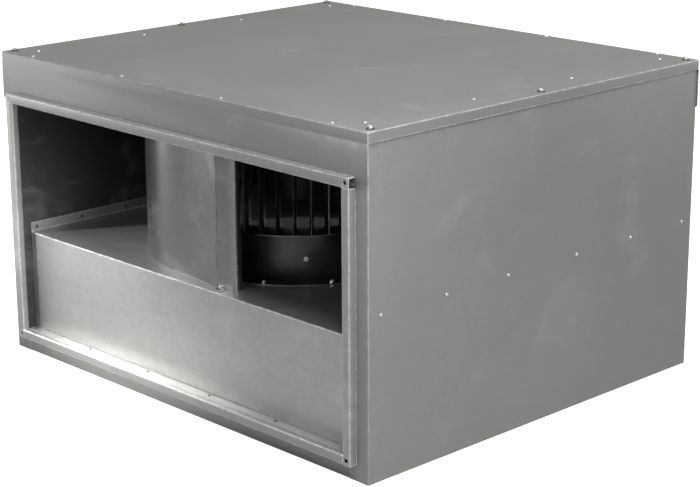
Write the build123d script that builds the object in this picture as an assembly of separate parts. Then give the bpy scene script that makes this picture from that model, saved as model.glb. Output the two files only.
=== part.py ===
from build123d import *
from math import acos, atan2, cos, degrees, hypot, radians, sin
import os

# Inline duct fan in an insulated sheet-steel casing, made as separate bench-sized pieces.
# Millimetres. X runs across the casing, Y from the outlet (front, -Y) to the inlet (rear, +Y)
# and Z up. The origin is the middle of the casing's underside.

# ---------------------------------------------------------------- driving dimensions

# Duct connection and casing
DUCT_WIDTH = 1000.0
DUCT_HEIGHT = 500.0
CASING_LENGTH = 946.0
SKIN = 1.2
LINER = 1.0
SIDE_WOOL = 48.0
FLOOR_WOOL = 50.0
LINER_LIP = 5.0

# Duct flanges
FLANGE_WIDTH = 20.0
FLANGE_SHEET = 1.5
FLANGE_STAND_OFF = 18.0
FLANGE_LEG = 36.0
FLANGE_HOLE_R = 4.5

# Cover
COVER_DEPTH = 103.8
COVER_GAP = 0.8
COVER_SIDE_LIP = 18.8
COVER_BAND_LAP = 5.0
COVER_BOLT_INSET = 15.2
COVER_BOLT_END = 21.0
GASKET = 3.0
GASKET_WIDTH = 30.0
PAN_GAP = 3.0
PAN_END_GAP = 4.8
PAN_RIM = 20.0
ROOF_RIVET_EDGE = 5.0
ROOF_RIVET_SIDE_Y = (141.0, 422.0)
ROOF_RIVET_END_X = (151.0, 452.5)

# Fasteners
RIVET_R = 1.6
RIVET_HEAD_R = 3.4
RIVET_HEAD = 1.5
FIT_GAP = 0.05
SCREW_R = 2.5
SCREW_HEAD_FLATS = 8.0
SCREW_HEAD = 3.5
WASHER_R = 8.0
WASHER = 2.0
RIVET_NUT_R = 3.5
RIVET_NUT_DEPTH = 11.0

# Wall stiffeners, one in each side wall
STIFFENER_Z = 318.5
STIFFENER_WIDTH = 30.0
STIFFENER_END_GAP = 1.0
SIDE_RIVET_Y = (100.5, 270.5, 441.0)

# Flange rivets, through each liner's edge into the flange leg
FLANGE_RIVET_INSET = 6.0
FLOOR_RIVET_PITCH = 195.0
SIDE_RIVET_PITCH = 140.0

# Shelf that parts the inlet chamber below from the fan above
SHELF_TOP = 267.0
SHELF_SHEET = 1.5
BAFFLE_SET_BACK = 14.0
SHELF_LIP = 20.0
SHELF_RIVET_RISE = 9.5
SHELF_RIVET_START = 14.0
SHELF_RIVET_PITCH = 119.5
SHELF_RIVET_COUNT = 8
CLOSING_PLATE_RIVET_START = 30.0
CLOSING_PLATE_RIVET_PITCH = 85.0
CLOSING_PLATE_RIVET_COUNT = 3

# Scroll: its radius grows evenly clockwise, seen from above, from the front round to the right
IMPELLER_X = 0.0
IMPELLER_Y = -135.0
SCROLL_START_R = 286.0
SCROLL_GROWTH = 36.7
SCROLL_SHEET = 1.5
SCROLL_HEIGHT = 278.0
SPIRAL_END = radians(270.0)
SPIRAL_STEPS = 18
FLARE_END_X = 96.0
FLARE_END_SET_BACK = 35.0
FLARE_JOIN_TURN = radians(8.0)
FLARE_SLOPE = 0.15
TONGUE_GAP = 1.5
TONGUE_LEG_GAP = 0.5
TONGUE_FACE = 30.0
TONGUE_NOSE_R = 15.0
TONGUE_TAB = 13.0
TONGUE_TAB_WIDTH = 22.0
TOP_PLATE = 2.5
TOP_PLATE_MARGIN = 24.0
TOP_PLATE_OVERHANG = 2.0
BRACKET = 20.0
BRACKET_SHEET = 2.0
BRACKET_GAP = 0.4
BRACKET_HOLE = 11.0
BRACKET_TURNS = (50, 100, 150, 200, 250)
BRACKET_RUN_STEP = 200.0

# Inlet nozzle
NOZZLE_SHEET = 1.5
NOZZLE_FLANGE_R = 268.0
NOZZLE_MOUTH_R = 246.0
NOZZLE_SCREW_R = 258.0
NOZZLE_SCREW_COUNT = 12
NOZZLE_SCREW_START = -58.0
NOZZLE_CLEARANCE = 4.0
NOZZLE_LAP = 5.0
NIPPLE_ANGLE = -38.5
NIPPLE_Z = 304.0
NIPPLE_R = 2.5
NIPPLE_COLLAR_R = 5.0
NIPPLE_LENGTH = 16.0

# Impeller, a forward-curved drum
IMPELLER_R = 225.0
BLADE_DEPTH = 34.0
BLADE_SHEET = 1.2
BLADE_ARC_R = 22.0
BLADE_HEIGHT = 160.0
BLADE_COUNT = 40
BLADE_FLOOR = 357.0
DRUM_SHEET = 2.0
DRUM_RIM = 2.0
RING_LIP = 8.0
HUB_RIVET_COUNT = 8

# Motor, with its rotor outside its stator
ROTOR_R = 84.0
ROTOR_WALL = 4.5
ROTOR_FLOOR = 6.0
ROTOR_DEPTH = 123.0
ROTOR_FLANGE = 20.0
ROTOR_FLANGE_SHEET = 4.0
ROTOR_CORE = 5.0
AIR_GAP = 0.5
STATOR_STACK = 60.0
STATOR_CORE_Z = 430.0
WINDING = 18.0
WINDING_INSET = 8.0
NECK_R = 26.0
NECK_WALL = 4.0
STATOR_FLANGE_R = 60.0
STATOR_FLANGE = 12.0
BEARING_R = 20.0
BEARING_WIDTH = 12.0
BEARING_SHOULDER = 2.0
SHAFT_R = 8.5
SHAFT_FIT = 0.05
MOTOR_BOLT_CIRCLE = 46.0
MOTOR_BOLT_COUNT = 4
MOTOR_BOLT_TIP_GAP = 2.0

# Terminal box on the left wall
BOX_Y = 260.0
BOX_Z = 480.0
BOX_WIDTH = 120.0
BOX_DEPTH = 50.0
BOX_WALL = 3.0
BOX_LID = 5.0
BOX_LID_ROUND = 2.0
BOX_POST_R = 5.0
LID_SCREW_INSET = 9.0
GLAND_R = 11.0
GLAND_BORE_R = 6.5
GLAND_THREAD_R = 9.0
GLAND_THREAD = 7.0
GLAND_COLLAR = 6.0
GLAND_NUT_R = 10.0
GLAND_NUT = 12.0
CABLE_HOLE_R = 11.0
GROMMET_WALL = 3.0
TERMINAL_COUNT = 7
TERMINAL_PITCH = 12.0
TERMINAL_WIDTH = 20.0
TERMINAL_HEIGHT = 16.0
TERMINAL_RISE = 28.0
TERMINAL_SCREW_R = 3.0
TERMINAL_SCREW_DEPTH = 9.0

# ---------------------------------------------------------------- places worked out from them

IN_X = DUCT_WIDTH / 2
OUT_X = IN_X + LINER + SIDE_WOOL + SKIN
END_Y = CASING_LENGTH / 2
FLOOR_Z = SKIN + FLOOR_WOOL + LINER
DUCT_TOP = FLOOR_Z + DUCT_HEIGHT
CASING_HEIGHT = DUCT_TOP + COVER_DEPTH
FLANGE_Y = END_Y + FLANGE_STAND_OFF
LEG_END_Y = FLANGE_Y - FLANGE_LEG
LIP_END_Y = END_Y + LINER_LIP
RAIL_X = IN_X + FLANGE_WIDTH
RIM_Z = CASING_HEIGHT - SKIN - GASKET
COVER_X = OUT_X + COVER_GAP + SKIN
COVER_Y = END_Y + COVER_GAP + SKIN
COVER_UNDER = CASING_HEIGHT - SKIN
PAN_Z = DUCT_TOP + FLANGE_SHEET + GASKET
PAN_X = IN_X - PAN_GAP
PAN_Y = COVER_Y - SKIN - PAN_END_GAP
WOOL_TOP = RIM_Z - SKIN - RIVET_NUT_DEPTH - 2 * FIT_GAP
BAFFLE_Y = END_Y - BAFFLE_SET_BACK
SCROLL_TOP = SHELF_TOP + SCROLL_HEIGHT
FLARE_END_Y = -(END_Y - FLARE_END_SET_BACK)
DRUM_TOP = BLADE_FLOOR + BLADE_HEIGHT
INNER_R = IMPELLER_R - BLADE_DEPTH
THROAT_R = INNER_R - NOZZLE_CLEARANCE - NOZZLE_SHEET
NOZZLE_TOP = BLADE_FLOOR + NOZZLE_LAP
ROTOR_TOP = DRUM_TOP
ROTOR_BOTTOM = ROTOR_TOP - ROTOR_DEPTH
STATOR_R = ROTOR_R - ROTOR_WALL - ROTOR_CORE - AIR_GAP
STATOR_TOP = SCROLL_TOP - STATOR_FLANGE
BOLT_X = OUT_X - COVER_BOLT_INSET
BOLT_Y = (-(END_Y - COVER_BOLT_END), 0.0, END_Y - COVER_BOLT_END)
AXIS = Pos(IMPELLER_X, IMPELLER_Y, 0)
NIPPLE_FRAME = AXIS * Rot(0, 0, NIPPLE_ANGLE) * Pos(THROAT_R + NIPPLE_LENGTH, 0, NIPPLE_Z) * Rot(0, 90, 0)
SIDES = (-1, 1)
UP = (Align.CENTER, Align.CENTER, Align.MIN)


# ---------------------------------------------------------------- shared shapes

def slab(x0, x1, y0, y1, z0, z1):
    """A box between six planes, given in either order."""
    centre = ((x0 + x1) / 2, (y0 + y1) / 2, (z0 + z1) / 2)
    return Pos(*centre) * Box(abs(x1 - x0), abs(y1 - y0), abs(z1 - z0))


def rod(point, direction, radius, length):
    """A cylinder that starts at a point and runs along a direction."""
    return Plane(origin=point, z_dir=direction) * Cylinder(radius, length, align=UP)


def tube(outer, inner, z0, z1):
    """A ring about the Z axis."""
    ring = Cylinder(outer, z1 - z0, align=UP) - Cylinder(inner, z1 - z0, align=UP)
    return Pos(0, 0, z0) * ring


def domed_rivet(grip):
    """A rivet standing on Z = 0, with its shank reaching down through the sheets."""
    head = Cylinder(RIVET_HEAD_R, RIVET_HEAD, align=UP)
    head = fillet(head.edges().sort_by(Axis.Z)[-1], 0.8 * RIVET_HEAD)
    return head + Pos(0, 0, -grip) * Cylinder(RIVET_R, grip, align=UP)


def hex_screw(grip):
    """A hexagon screw standing on Z = 0, with its shank reaching down."""
    head = extrude(RegularPolygon(SCREW_HEAD_FLATS / 2, 6, major_radius=False), SCREW_HEAD)
    return head + Pos(0, 0, -grip) * Cylinder(SCREW_R, grip, align=UP)


def placed(shape, spots):
    """Copies of a shape at (point, outward direction) spots, as separate solids."""
    return Compound([Plane(origin=point, z_dir=out) * shape for point, out in spots])


def drilled(shape, spots, radius, depth):
    """The shape with a hole at each spot, running inwards from a little outside it."""
    for point, out in spots:
        start = tuple(p + o * depth for p, o in zip(point, out))
        back = tuple(-o for o in out)
        shape = shape - rod(start, back, radius, 2 * depth)
    return shape


def both_ends(shape):
    """A copy of the shape turned end for end about the duct's middle plane."""
    return mirror(shape, about=Plane.XZ)


def save(name, shape):
    """Write one piece to its own STEP file."""
    export_step(shape, "parts/" + name + ".step")


# ---------------------------------------------------------------- fastener places

def flange_rivet_spots(end):
    """Rivets round one duct opening, with end -1 for the outlet and 1 for the inlet."""
    y = end * (END_Y - FLANGE_RIVET_INSET)
    middle = FLOOR_Z + DUCT_HEIGHT / 2
    spots = []
    for step in (-2.5, -1.5, -0.5, 0.5, 1.5, 2.5):
        spots.append(((step * FLOOR_RIVET_PITCH, y, FLOOR_Z), (0, 0, 1)))
    for side in SIDES:
        for step in (-1.5, -0.5, 0.5, 1.5):
            z = middle + step * SIDE_RIVET_PITCH
            spots.append(((side * IN_X, y, z), (-side, 0, 0)))
    return spots


def side_rivet_spots(side):
    """Rivets that hold a side panel to its stiffener."""
    spots = []
    for y in SIDE_RIVET_Y:
        spots.append(((side * OUT_X, -y, STIFFENER_Z), (side, 0, 0)))
        spots.append(((side * OUT_X, y, STIFFENER_Z), (side, 0, 0)))
    return spots


def roof_rivet_spots():
    """Rivets that hold the cover's inner pan to its roof."""
    spots = []
    for side in SIDES:
        for y in ROOF_RIVET_SIDE_Y:
            for end in SIDES:
                spots.append(((side * (PAN_X - ROOF_RIVET_EDGE), end * y, CASING_HEIGHT), (0, 0, 1)))
        for x in ROOF_RIVET_END_X:
            for end in SIDES:
                spots.append(((side * x, end * (PAN_Y - ROOF_RIVET_EDGE), CASING_HEIGHT), (0, 0, 1)))
    return spots


def cover_bolt_spots(z):
    """The cover's six bolts, at a height."""
    return [((side * BOLT_X, y, z), (0, 0, 1)) for side in SIDES for y in BOLT_Y]


def shelf_rivet_spots(side):
    """Rivets through the shelf's upturned lip into the liner."""
    z = SHELF_TOP + SHELF_RIVET_RISE
    x = side * (IN_X - SHELF_SHEET)
    first = -(BAFFLE_Y - SHELF_RIVET_START)
    return [((x, first + n * SHELF_RIVET_PITCH, z), (-side, 0, 0)) for n in range(SHELF_RIVET_COUNT)]


def closing_plate_rivet_spots(side):
    """Rivets through the closing plate's side lips into the liner."""
    x = side * (IN_X - SHELF_SHEET)
    y = BAFFLE_Y - SHELF_LIP / 2
    first = SHELF_TOP + SHELF_LIP + CLOSING_PLATE_RIVET_START
    heights = [first + n * CLOSING_PLATE_RIVET_PITCH for n in range(CLOSING_PLATE_RIVET_COUNT)]
    return [((x, y, z), (-side, 0, 0)) for z in heights]


# ---------------------------------------------------------------- casing

def bottom_panel():
    """Floor tray of the casing, with an upstand at each end."""
    tray = slab(-(OUT_X - SKIN), OUT_X - SKIN, -END_Y, END_Y, 0, SKIN)
    for end in SIDES:
        top = FLOOR_Z - LINER - FLANGE_SHEET - FIT_GAP
        x = IN_X + LINER + FLANGE_SHEET
        tray += slab(-x, x, end * (END_Y - SKIN), end * END_Y, SKIN, top)
    return tray


def side_panel(side):
    """Outer skin of one side wall, folded round both ends and over the top."""
    out = side * OUT_X
    edge = side * (IN_X + LINER + FLANGE_SHEET + 2 * FIT_GAP)
    panel = slab(side * (OUT_X - SKIN), out, -END_Y, END_Y, 0, RIM_Z)
    for end in SIDES:
        panel += slab(edge, out, end * (END_Y - SKIN), end * END_Y, SKIN, RIM_Z)
    panel += slab(side * IN_X, out, -(END_Y - SKIN), END_Y - SKIN, RIM_Z - SKIN, RIM_Z)
    panel = drilled(panel, side_rivet_spots(side), RIVET_R + FIT_GAP, 2 * SKIN)
    bolts = [spot for spot in cover_bolt_spots(RIM_Z) if spot[0][0] * side > 0]
    return drilled(panel, bolts, RIVET_NUT_R + FIT_GAP, 2 * SKIN)


def side_liner(side):
    """Inner sheet of one side wall, with a lip at each end inside the flange."""
    inner = side * IN_X
    outer = side * (IN_X + LINER)
    liner = slab(inner, outer, -(END_Y - SKIN), END_Y - SKIN, FLOOR_Z - LINER, RIM_Z - SKIN)
    liner += slab(inner, outer, -LIP_END_Y, LIP_END_Y, FLOOR_Z, DUCT_TOP)
    spots = shelf_rivet_spots(side) + closing_plate_rivet_spots(side)
    for end in SIDES:
        spots += [s for s in flange_rivet_spots(end) if s[0][0] * side > IN_X - LINER and s[1][2] == 0]
    return drilled(liner, spots, RIVET_R + FIT_GAP, 2 * SHELF_SHEET + LINER)


def floor_liner():
    """Inner sheet of the floor."""
    liner = slab(-IN_X, IN_X, -LIP_END_Y, LIP_END_Y, FLOOR_Z - LINER, FLOOR_Z)
    for end in SIDES:
        spots = [s for s in flange_rivet_spots(end) if s[1][2] == 1]
        liner = drilled(liner, spots, RIVET_R + FIT_GAP, 2 * LINER)
    return liner


def stiffener(side):
    """Channel that ties the skin to the liner, half way up a side wall."""
    inner = side * (IN_X + LINER)
    outer = side * (OUT_X - SKIN)
    y = LEG_END_Y - STIFFENER_END_GAP
    low = STIFFENER_Z - STIFFENER_WIDTH / 2
    high = STIFFENER_Z + STIFFENER_WIDTH / 2
    channel = slab(outer - side * SKIN, outer, -y, y, low, high)
    channel += slab(inner, inner + side * SKIN, -y, y, low, high)
    channel += slab(inner, outer, -y, y, low, low + SKIN)
    return drilled(channel, side_rivet_spots(side), RIVET_R + FIT_GAP, 3 * SKIN)


def side_wool(side):
    """Mineral wool in one side wall, below and above the stiffener."""
    inner = side * (IN_X + LINER)
    outer = side * (OUT_X - SKIN)
    y = END_Y - SKIN
    low = slab(inner, outer, -y, y, SKIN, STIFFENER_Z - STIFFENER_WIDTH / 2)
    high = slab(inner, outer, -y, y, STIFFENER_Z + STIFFENER_WIDTH / 2, WOOL_TOP)
    pieces = []
    for piece in (low, high):
        for end in SIDES:
            leg = slab(inner, inner + side * FLANGE_SHEET, end * LEG_END_Y, end * END_Y, SKIN, WOOL_TOP)
            piece = piece - leg
        pieces.append(piece)
    if side < 0:
        hole = rod((-OUT_X, BOX_Y, BOX_Z), (1, 0, 0), CABLE_HOLE_R, SIDE_WOOL + 2 * SKIN)
        pieces[1] = pieces[1] - hole
    return Compound([piece.solid() for piece in pieces])


def floor_wool():
    """Mineral wool under the floor liner."""
    x = IN_X + LINER
    wool = slab(-x, x, -(END_Y - SKIN), END_Y - SKIN, SKIN, FLOOR_Z - LINER)
    for end in SIDES:
        leg = slab(-x, x, end * LEG_END_Y, end * END_Y, FLOOR_Z - LINER - FLANGE_SHEET, FLOOR_Z)
        wool = wool - leg
    return wool


# ---------------------------------------------------------------- duct flanges

def side_rail(side):
    """Upright rail of the outlet flange: inner leg, face and outer return."""
    leg = side * (IN_X + LINER)
    out = side * RAIL_X
    low = FLOOR_Z - FLANGE_WIDTH
    rail = slab(leg, leg + side * FLANGE_SHEET, -FLANGE_Y, -LEG_END_Y, FLOOR_Z - LINER, DUCT_TOP)
    rail += slab(leg, out, -FLANGE_Y, -(FLANGE_Y - FLANGE_SHEET), low, DUCT_TOP)
    rail += slab(out - side * FLANGE_SHEET, out, -FLANGE_Y, -(END_Y + FIT_GAP), low, DUCT_TOP)
    hole = ((side * (IN_X + FLANGE_WIDTH / 2), -FLANGE_Y, FLOOR_Z - FLANGE_WIDTH / 2), (0, -1, 0))
    rail = drilled(rail, [hole], FLANGE_HOLE_R, 3 * FLANGE_SHEET)
    spots = [s for s in flange_rivet_spots(-1) if s[1][0] == -side]
    return drilled(rail, spots, RIVET_R + FIT_GAP, 2 * LINER + FLANGE_SHEET)


def top_rail():
    """Top rail of the outlet flange, running over the side rails."""
    rail = slab(-IN_X, IN_X, -FLANGE_Y, -LEG_END_Y, DUCT_TOP, DUCT_TOP + FLANGE_SHEET)
    high = DUCT_TOP + FLANGE_WIDTH
    rail += slab(-RAIL_X, RAIL_X, -FLANGE_Y, -(FLANGE_Y - FLANGE_SHEET), DUCT_TOP, high)
    rail += slab(-RAIL_X, RAIL_X, -FLANGE_Y, -(COVER_Y + FIT_GAP), high - FLANGE_SHEET, high)
    x = IN_X + FLANGE_WIDTH / 2
    holes = [((side * x, -FLANGE_Y, DUCT_TOP + FLANGE_WIDTH / 2), (0, -1, 0)) for side in SIDES]
    return drilled(rail, holes, FLANGE_HOLE_R, 3 * FLANGE_SHEET)


def bottom_rail():
    """Bottom rail of the outlet flange, between the side rails."""
    x = IN_X + LINER
    top = FLOOR_Z - LINER
    low = FLOOR_Z - FLANGE_WIDTH
    rail = slab(-IN_X, IN_X, -FLANGE_Y, -LEG_END_Y, top - FLANGE_SHEET, top)
    rail += slab(-x, x, -FLANGE_Y, -(FLANGE_Y - FLANGE_SHEET), low, top)
    rail += slab(-x, x, -FLANGE_Y, -(END_Y + FIT_GAP), low, low + FLANGE_SHEET)
    spots = [s for s in flange_rivet_spots(-1) if s[1][2] == 1]
    return drilled(rail, spots, RIVET_R + FIT_GAP, 2 * LINER + FLANGE_SHEET)


# ---------------------------------------------------------------- cover

def top_cover():
    """Roof sheet with a deep band at each end and a short lip along each side."""
    cover = slab(-COVER_X, COVER_X, -COVER_Y, COVER_Y, COVER_UNDER, CASING_HEIGHT)
    for end in SIDES:
        inner = end * (COVER_Y - SKIN)
        low = DUCT_TOP + COVER_BAND_LAP
        cover += slab(-COVER_X, COVER_X, inner, end * COVER_Y, low, COVER_UNDER)
        inner = end * (COVER_X - SKIN)
        low = COVER_UNDER - COVER_SIDE_LIP
        cover += slab(inner, end * COVER_X, -COVER_Y, COVER_Y, low, COVER_UNDER)
    cover = drilled(cover, roof_rivet_spots(), RIVET_R + FIT_GAP, 2 * SKIN)
    return drilled(cover, cover_bolt_spots(CASING_HEIGHT), SCREW_R + FIT_GAP, 2 * SKIN)


def cover_pan():
    """Inner tray of the cover, with an inward rim riveted under the roof."""
    pan = slab(-PAN_X, PAN_X, -PAN_Y, PAN_Y, PAN_Z, COVER_UNDER)
    pan -= slab(-(PAN_X - LINER), PAN_X - LINER, -(PAN_Y - LINER), PAN_Y - LINER,
                PAN_Z + LINER, COVER_UNDER - LINER)
    x = PAN_X - PAN_RIM
    y = PAN_Y - PAN_RIM
    pan -= slab(-x, x, -y, y, COVER_UNDER - LINER, COVER_UNDER)
    return drilled(pan, roof_rivet_spots(), RIVET_R + FIT_GAP, SKIN + 2 * LINER)


def cover_wool():
    """Mineral wool inside the cover."""
    x = PAN_X - LINER
    y = PAN_Y - LINER
    return slab(-x, x, -y, y, PAN_Z + LINER, COVER_UNDER - LINER)


def cover_gasket():
    """Foam strips under the cover, on both side walls and both flange legs."""
    strips = []
    for side in SIDES:
        x0 = side * (BOLT_X - GASKET_WIDTH / 2)
        x1 = side * (OUT_X - 2 * SKIN)
        strip = slab(x0, x1, -(END_Y - SKIN), END_Y - SKIN, RIM_Z, RIM_Z + GASKET)
        bolts = [spot for spot in cover_bolt_spots(RIM_Z) if spot[0][0] * side > 0]
        strips.append(drilled(strip, bolts, SCREW_R + FIT_GAP, 2 * GASKET).solid())
        y0 = side * (LEG_END_Y + LINER)
        strips.append(slab(-PAN_X, PAN_X, y0, side * PAN_Y, PAN_Z - GASKET, PAN_Z).solid())
    return Compound(strips)


def rivet_nut():
    """Threaded insert set into a side panel's top flange, with its face on Z = 0."""
    return Pos(0, 0, -RIVET_NUT_DEPTH) * tube(RIVET_NUT_R, SCREW_R + FIT_GAP, 0, RIVET_NUT_DEPTH)


def washer():
    """Bonded rubber washer standing on Z = 0."""
    ring = tube(WASHER_R, SCREW_R + FIT_GAP, 0, WASHER)
    return chamfer(ring.edges().group_by(Axis.Z)[-1].sort_by(SortBy.RADIUS)[-1], WASHER / 2)


# ---------------------------------------------------------------- shelf and closing plate

def shelf_plate():
    """Shelf with its front edge folded down as the baffle and its side edges folded up."""
    x = IN_X - FIT_GAP
    low = SHELF_TOP - SHELF_SHEET
    shelf = slab(-x, x, -BAFFLE_Y, BAFFLE_Y, low, SHELF_TOP)
    shelf += slab(-x, x, -BAFFLE_Y, -(BAFFLE_Y - SHELF_SHEET), FLOOR_Z, SHELF_TOP)
    shelf += slab(-x, x, -BAFFLE_Y, -(BAFFLE_Y - SHELF_LIP), FLOOR_Z, FLOOR_Z + SHELF_SHEET)
    for side in SIDES:
        inner = side * (IN_X - SHELF_SHEET)
        shelf += slab(inner, side * IN_X, -BAFFLE_Y, BAFFLE_Y, low, SHELF_TOP + SHELF_LIP)
        shelf = drilled(shelf, shelf_rivet_spots(side), RIVET_R + FIT_GAP, 2 * SHELF_SHEET)
    shelf -= AXIS * Pos(0, 0, low) * Cylinder(NOZZLE_MOUTH_R, SHELF_SHEET, align=UP)
    shelf = drilled(shelf, nozzle_screw_spots(SHELF_TOP), SCREW_R + FIT_GAP, 2 * SHELF_SHEET)
    return drilled(shelf, [tongue_rivet_spot(SHELF_TOP)], RIVET_R + FIT_GAP, 2 * SHELF_SHEET)


def closing_plate():
    """Upright plate that shuts the inlet opening above the shelf."""
    x = IN_X - SHELF_SHEET - FIT_GAP
    base = SHELF_TOP
    plate = slab(-x, x, BAFFLE_Y - SHELF_SHEET, BAFFLE_Y, base, DUCT_TOP)
    plate += slab(-x, x, BAFFLE_Y - SHELF_LIP, BAFFLE_Y, base, base + SHELF_SHEET)
    low = base + SHELF_LIP + FIT_GAP
    plate += slab(-IN_X, IN_X, BAFFLE_Y - SHELF_SHEET, BAFFLE_Y, low, DUCT_TOP)
    for side in SIDES:
        inner = side * (IN_X - SHELF_SHEET)
        plate += slab(inner, side * IN_X, BAFFLE_Y - SHELF_LIP, BAFFLE_Y, low, DUCT_TOP)
        plate = drilled(plate, closing_plate_rivet_spots(side), RIVET_R + FIT_GAP, 2 * SHELF_SHEET)
    return plate


# ---------------------------------------------------------------- scroll

def scroll_point(turn, inset):
    """A point on the spiral, a clockwise turn in radians from the front, inset from its outside."""
    radius = SCROLL_START_R + SCROLL_GROWTH * turn - inset
    return (IMPELLER_X - radius * sin(turn), IMPELLER_Y - radius * cos(turn))


def scroll_heading(turn, inset):
    """The spiral's direction there, for growing turn."""
    radius = SCROLL_START_R + SCROLL_GROWTH * turn - inset
    return (-SCROLL_GROWTH * sin(turn) - radius * cos(turn),
            -SCROLL_GROWTH * cos(turn) + radius * sin(turn))


def scroll_edges(inset, end_y):
    """One face of the scroll sheet: flare from the tongue, spiral, and straight run to the outlet."""
    step = (SPIRAL_END - FLARE_JOIN_TURN) / SPIRAL_STEPS
    turns = [FLARE_JOIN_TURN + n * step for n in range(SPIRAL_STEPS + 1)]
    points = [scroll_point(turn, inset) for turn in turns]
    start = (FLARE_END_X, FLARE_END_Y + inset)
    flare = Spline(start, points[0], tangents=[(-1, FLARE_SLOPE), scroll_heading(turns[0], inset)])
    ends = [scroll_heading(turns[0], inset), (0, -1)]
    spiral = Spline(*points, tangents=ends)
    run = Line(points[-1], (points[-1][0], end_y))
    return [flare, spiral, run]


def closed_face(outer, inner):
    """A face between two open chains of edges that run the same way."""
    first = Line(outer[0] @ 0, inner[0] @ 0)
    last = Line(outer[-1] @ 1, inner[-1] @ 1)
    return make_face(Wire(outer + [last] + inner + [first]))


def scroll_wall():
    """Curved wall of the scroll, standing on the shelf."""
    face = closed_face(scroll_edges(0, FLARE_END_Y), scroll_edges(SCROLL_SHEET, FLARE_END_Y))
    return Pos(0, 0, SHELF_TOP) * extrude(face, SCROLL_HEIGHT)


def tongue_edges(inset):
    """One face of the tongue sheet: front face, round nose and the leg back to the scroll wall."""
    slope = atan2(FLARE_SLOPE, 1)
    along = (cos(slope), sin(slope))
    across = (-sin(slope), cos(slope))
    start_x = FLARE_END_X + TONGUE_GAP
    nose_x = start_x + TONGUE_FACE * along[0] + TONGUE_NOSE_R * across[0]
    nose_y = FLARE_END_Y + TONGUE_FACE * along[1] + TONGUE_NOSE_R * across[1]
    radius = TONGUE_NOSE_R - inset
    start = (start_x + inset * across[0], FLARE_END_Y + inset * across[1])
    touch = (nose_x - radius * across[0], nose_y - radius * across[1])
    wall_y = IMPELLER_Y - SCROLL_START_R + 2 * SCROLL_SHEET + TONGUE_LEG_GAP
    leg_end = (IMPELLER_X, wall_y - inset)
    reach = hypot(leg_end[0] - nose_x, leg_end[1] - nose_y)
    heading = degrees(atan2(leg_end[1] - nose_y, leg_end[0] - nose_x))
    last = heading - degrees(acos(radius / reach))
    first = degrees(slope) - 90
    nose = CenterArc((nose_x, nose_y), radius, first, (last - first) % 360)
    return [Line(start, touch), nose, Line(nose @ 1, leg_end)]


def tongue_rivet_spot(z):
    """The rivet through the tongue's foot tab."""
    x = FLARE_END_X + TONGUE_GAP + TONGUE_TAB_WIDTH / 2
    return ((x, FLARE_END_Y - TONGUE_TAB / 2, z), (0, 0, 1))


def tongue_plate():
    """Cut-off tongue that parts the outlet from the start of the scroll, with a foot tab."""
    face = closed_face(tongue_edges(0), tongue_edges(SCROLL_SHEET))
    tongue = Pos(0, 0, SHELF_TOP) * extrude(face, SCROLL_HEIGHT)
    x = FLARE_END_X + TONGUE_GAP
    back = FLARE_END_Y + SCROLL_SHEET
    tab = slab(x, x + TONGUE_TAB_WIDTH, FLARE_END_Y - TONGUE_TAB, back, SHELF_TOP, SHELF_TOP + SCROLL_SHEET)
    return drilled(tongue + tab, [tongue_rivet_spot(SHELF_TOP)], RIVET_R + FIT_GAP, 3 * SCROLL_SHEET)


def bracket_places():
    """Where each bracket stands against the outside of the scroll wall, and its bearing."""
    places = []
    for angle in BRACKET_TURNS:
        turn = radians(angle)
        heading = scroll_heading(turn, 0)
        bearing = degrees(atan2(heading[0], -heading[1]))
        places.append((scroll_point(turn, -BRACKET_GAP), bearing))
    right = scroll_point(SPIRAL_END, -BRACKET_GAP)
    for y in (IMPELLER_Y, IMPELLER_Y - BRACKET_RUN_STEP):
        places.append(((right[0], y), 0.0))
    return places


def bracket():
    """Small angle with its upright leg on the YZ plane and its top leg under Z = 0."""
    half = BRACKET / 2
    angle = slab(0, BRACKET_SHEET, -half, half, -BRACKET, 0)
    angle += slab(0, BRACKET, -half, half, -BRACKET_SHEET, 0)
    hole = rod((BRACKET_HOLE, 0, -2 * BRACKET_SHEET), (0, 0, 1), SCREW_R + FIT_GAP, 4 * BRACKET_SHEET)
    return angle - hole


def bracket_frames():
    """A location for each bracket, with X pointing away from the wall."""
    return [Pos(x, y, SCROLL_TOP) * Rot(0, 0, bearing) for (x, y), bearing in bracket_places()]


def top_plate():
    """Flat lid of the scroll, which carries the motor."""
    outer = scroll_edges(-TOP_PLATE_MARGIN, FLARE_END_Y)
    corner = (FLARE_END_X, FLARE_END_Y)
    closing = [Line(outer[-1] @ 1, corner), Line(corner, outer[0] @ 0)]
    plate = Pos(0, 0, SCROLL_TOP) * extrude(make_face(Wire(outer + closing)), TOP_PLATE)
    plate -= slab(-IN_X, IN_X, -END_Y, FLARE_END_Y - TOP_PLATE_OVERHANG, 0, CASING_HEIGHT)
    for frame in bracket_frames():
        hole = Pos(BRACKET_HOLE, 0, -TOP_PLATE) * Cylinder(SCREW_R + FIT_GAP, 3 * TOP_PLATE, align=UP)
        plate -= frame * hole
    return drilled(plate, motor_bolt_spots(), SCREW_R + FIT_GAP, 2 * TOP_PLATE)


def top_plate_screws():
    """Screws through the top plate into the brackets."""
    screw = Pos(0, 0, TOP_PLATE) * hex_screw(TOP_PLATE + BRACKET_SHEET)
    return Compound([(frame * Pos(BRACKET_HOLE, 0, 0) * screw).solid() for frame in bracket_frames()])


# ---------------------------------------------------------------- inlet nozzle

def nozzle_screw_spots(z):
    """Screws round the nozzle's flange."""
    spots = []
    for n in range(NOZZLE_SCREW_COUNT):
        angle = radians(NOZZLE_SCREW_START + 360 * n / NOZZLE_SCREW_COUNT)
        x = IMPELLER_X + NOZZLE_SCREW_R * cos(angle)
        y = IMPELLER_Y + NOZZLE_SCREW_R * sin(angle)
        spots.append(((x, y, z), (0, 0, 1)))
    return spots


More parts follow.
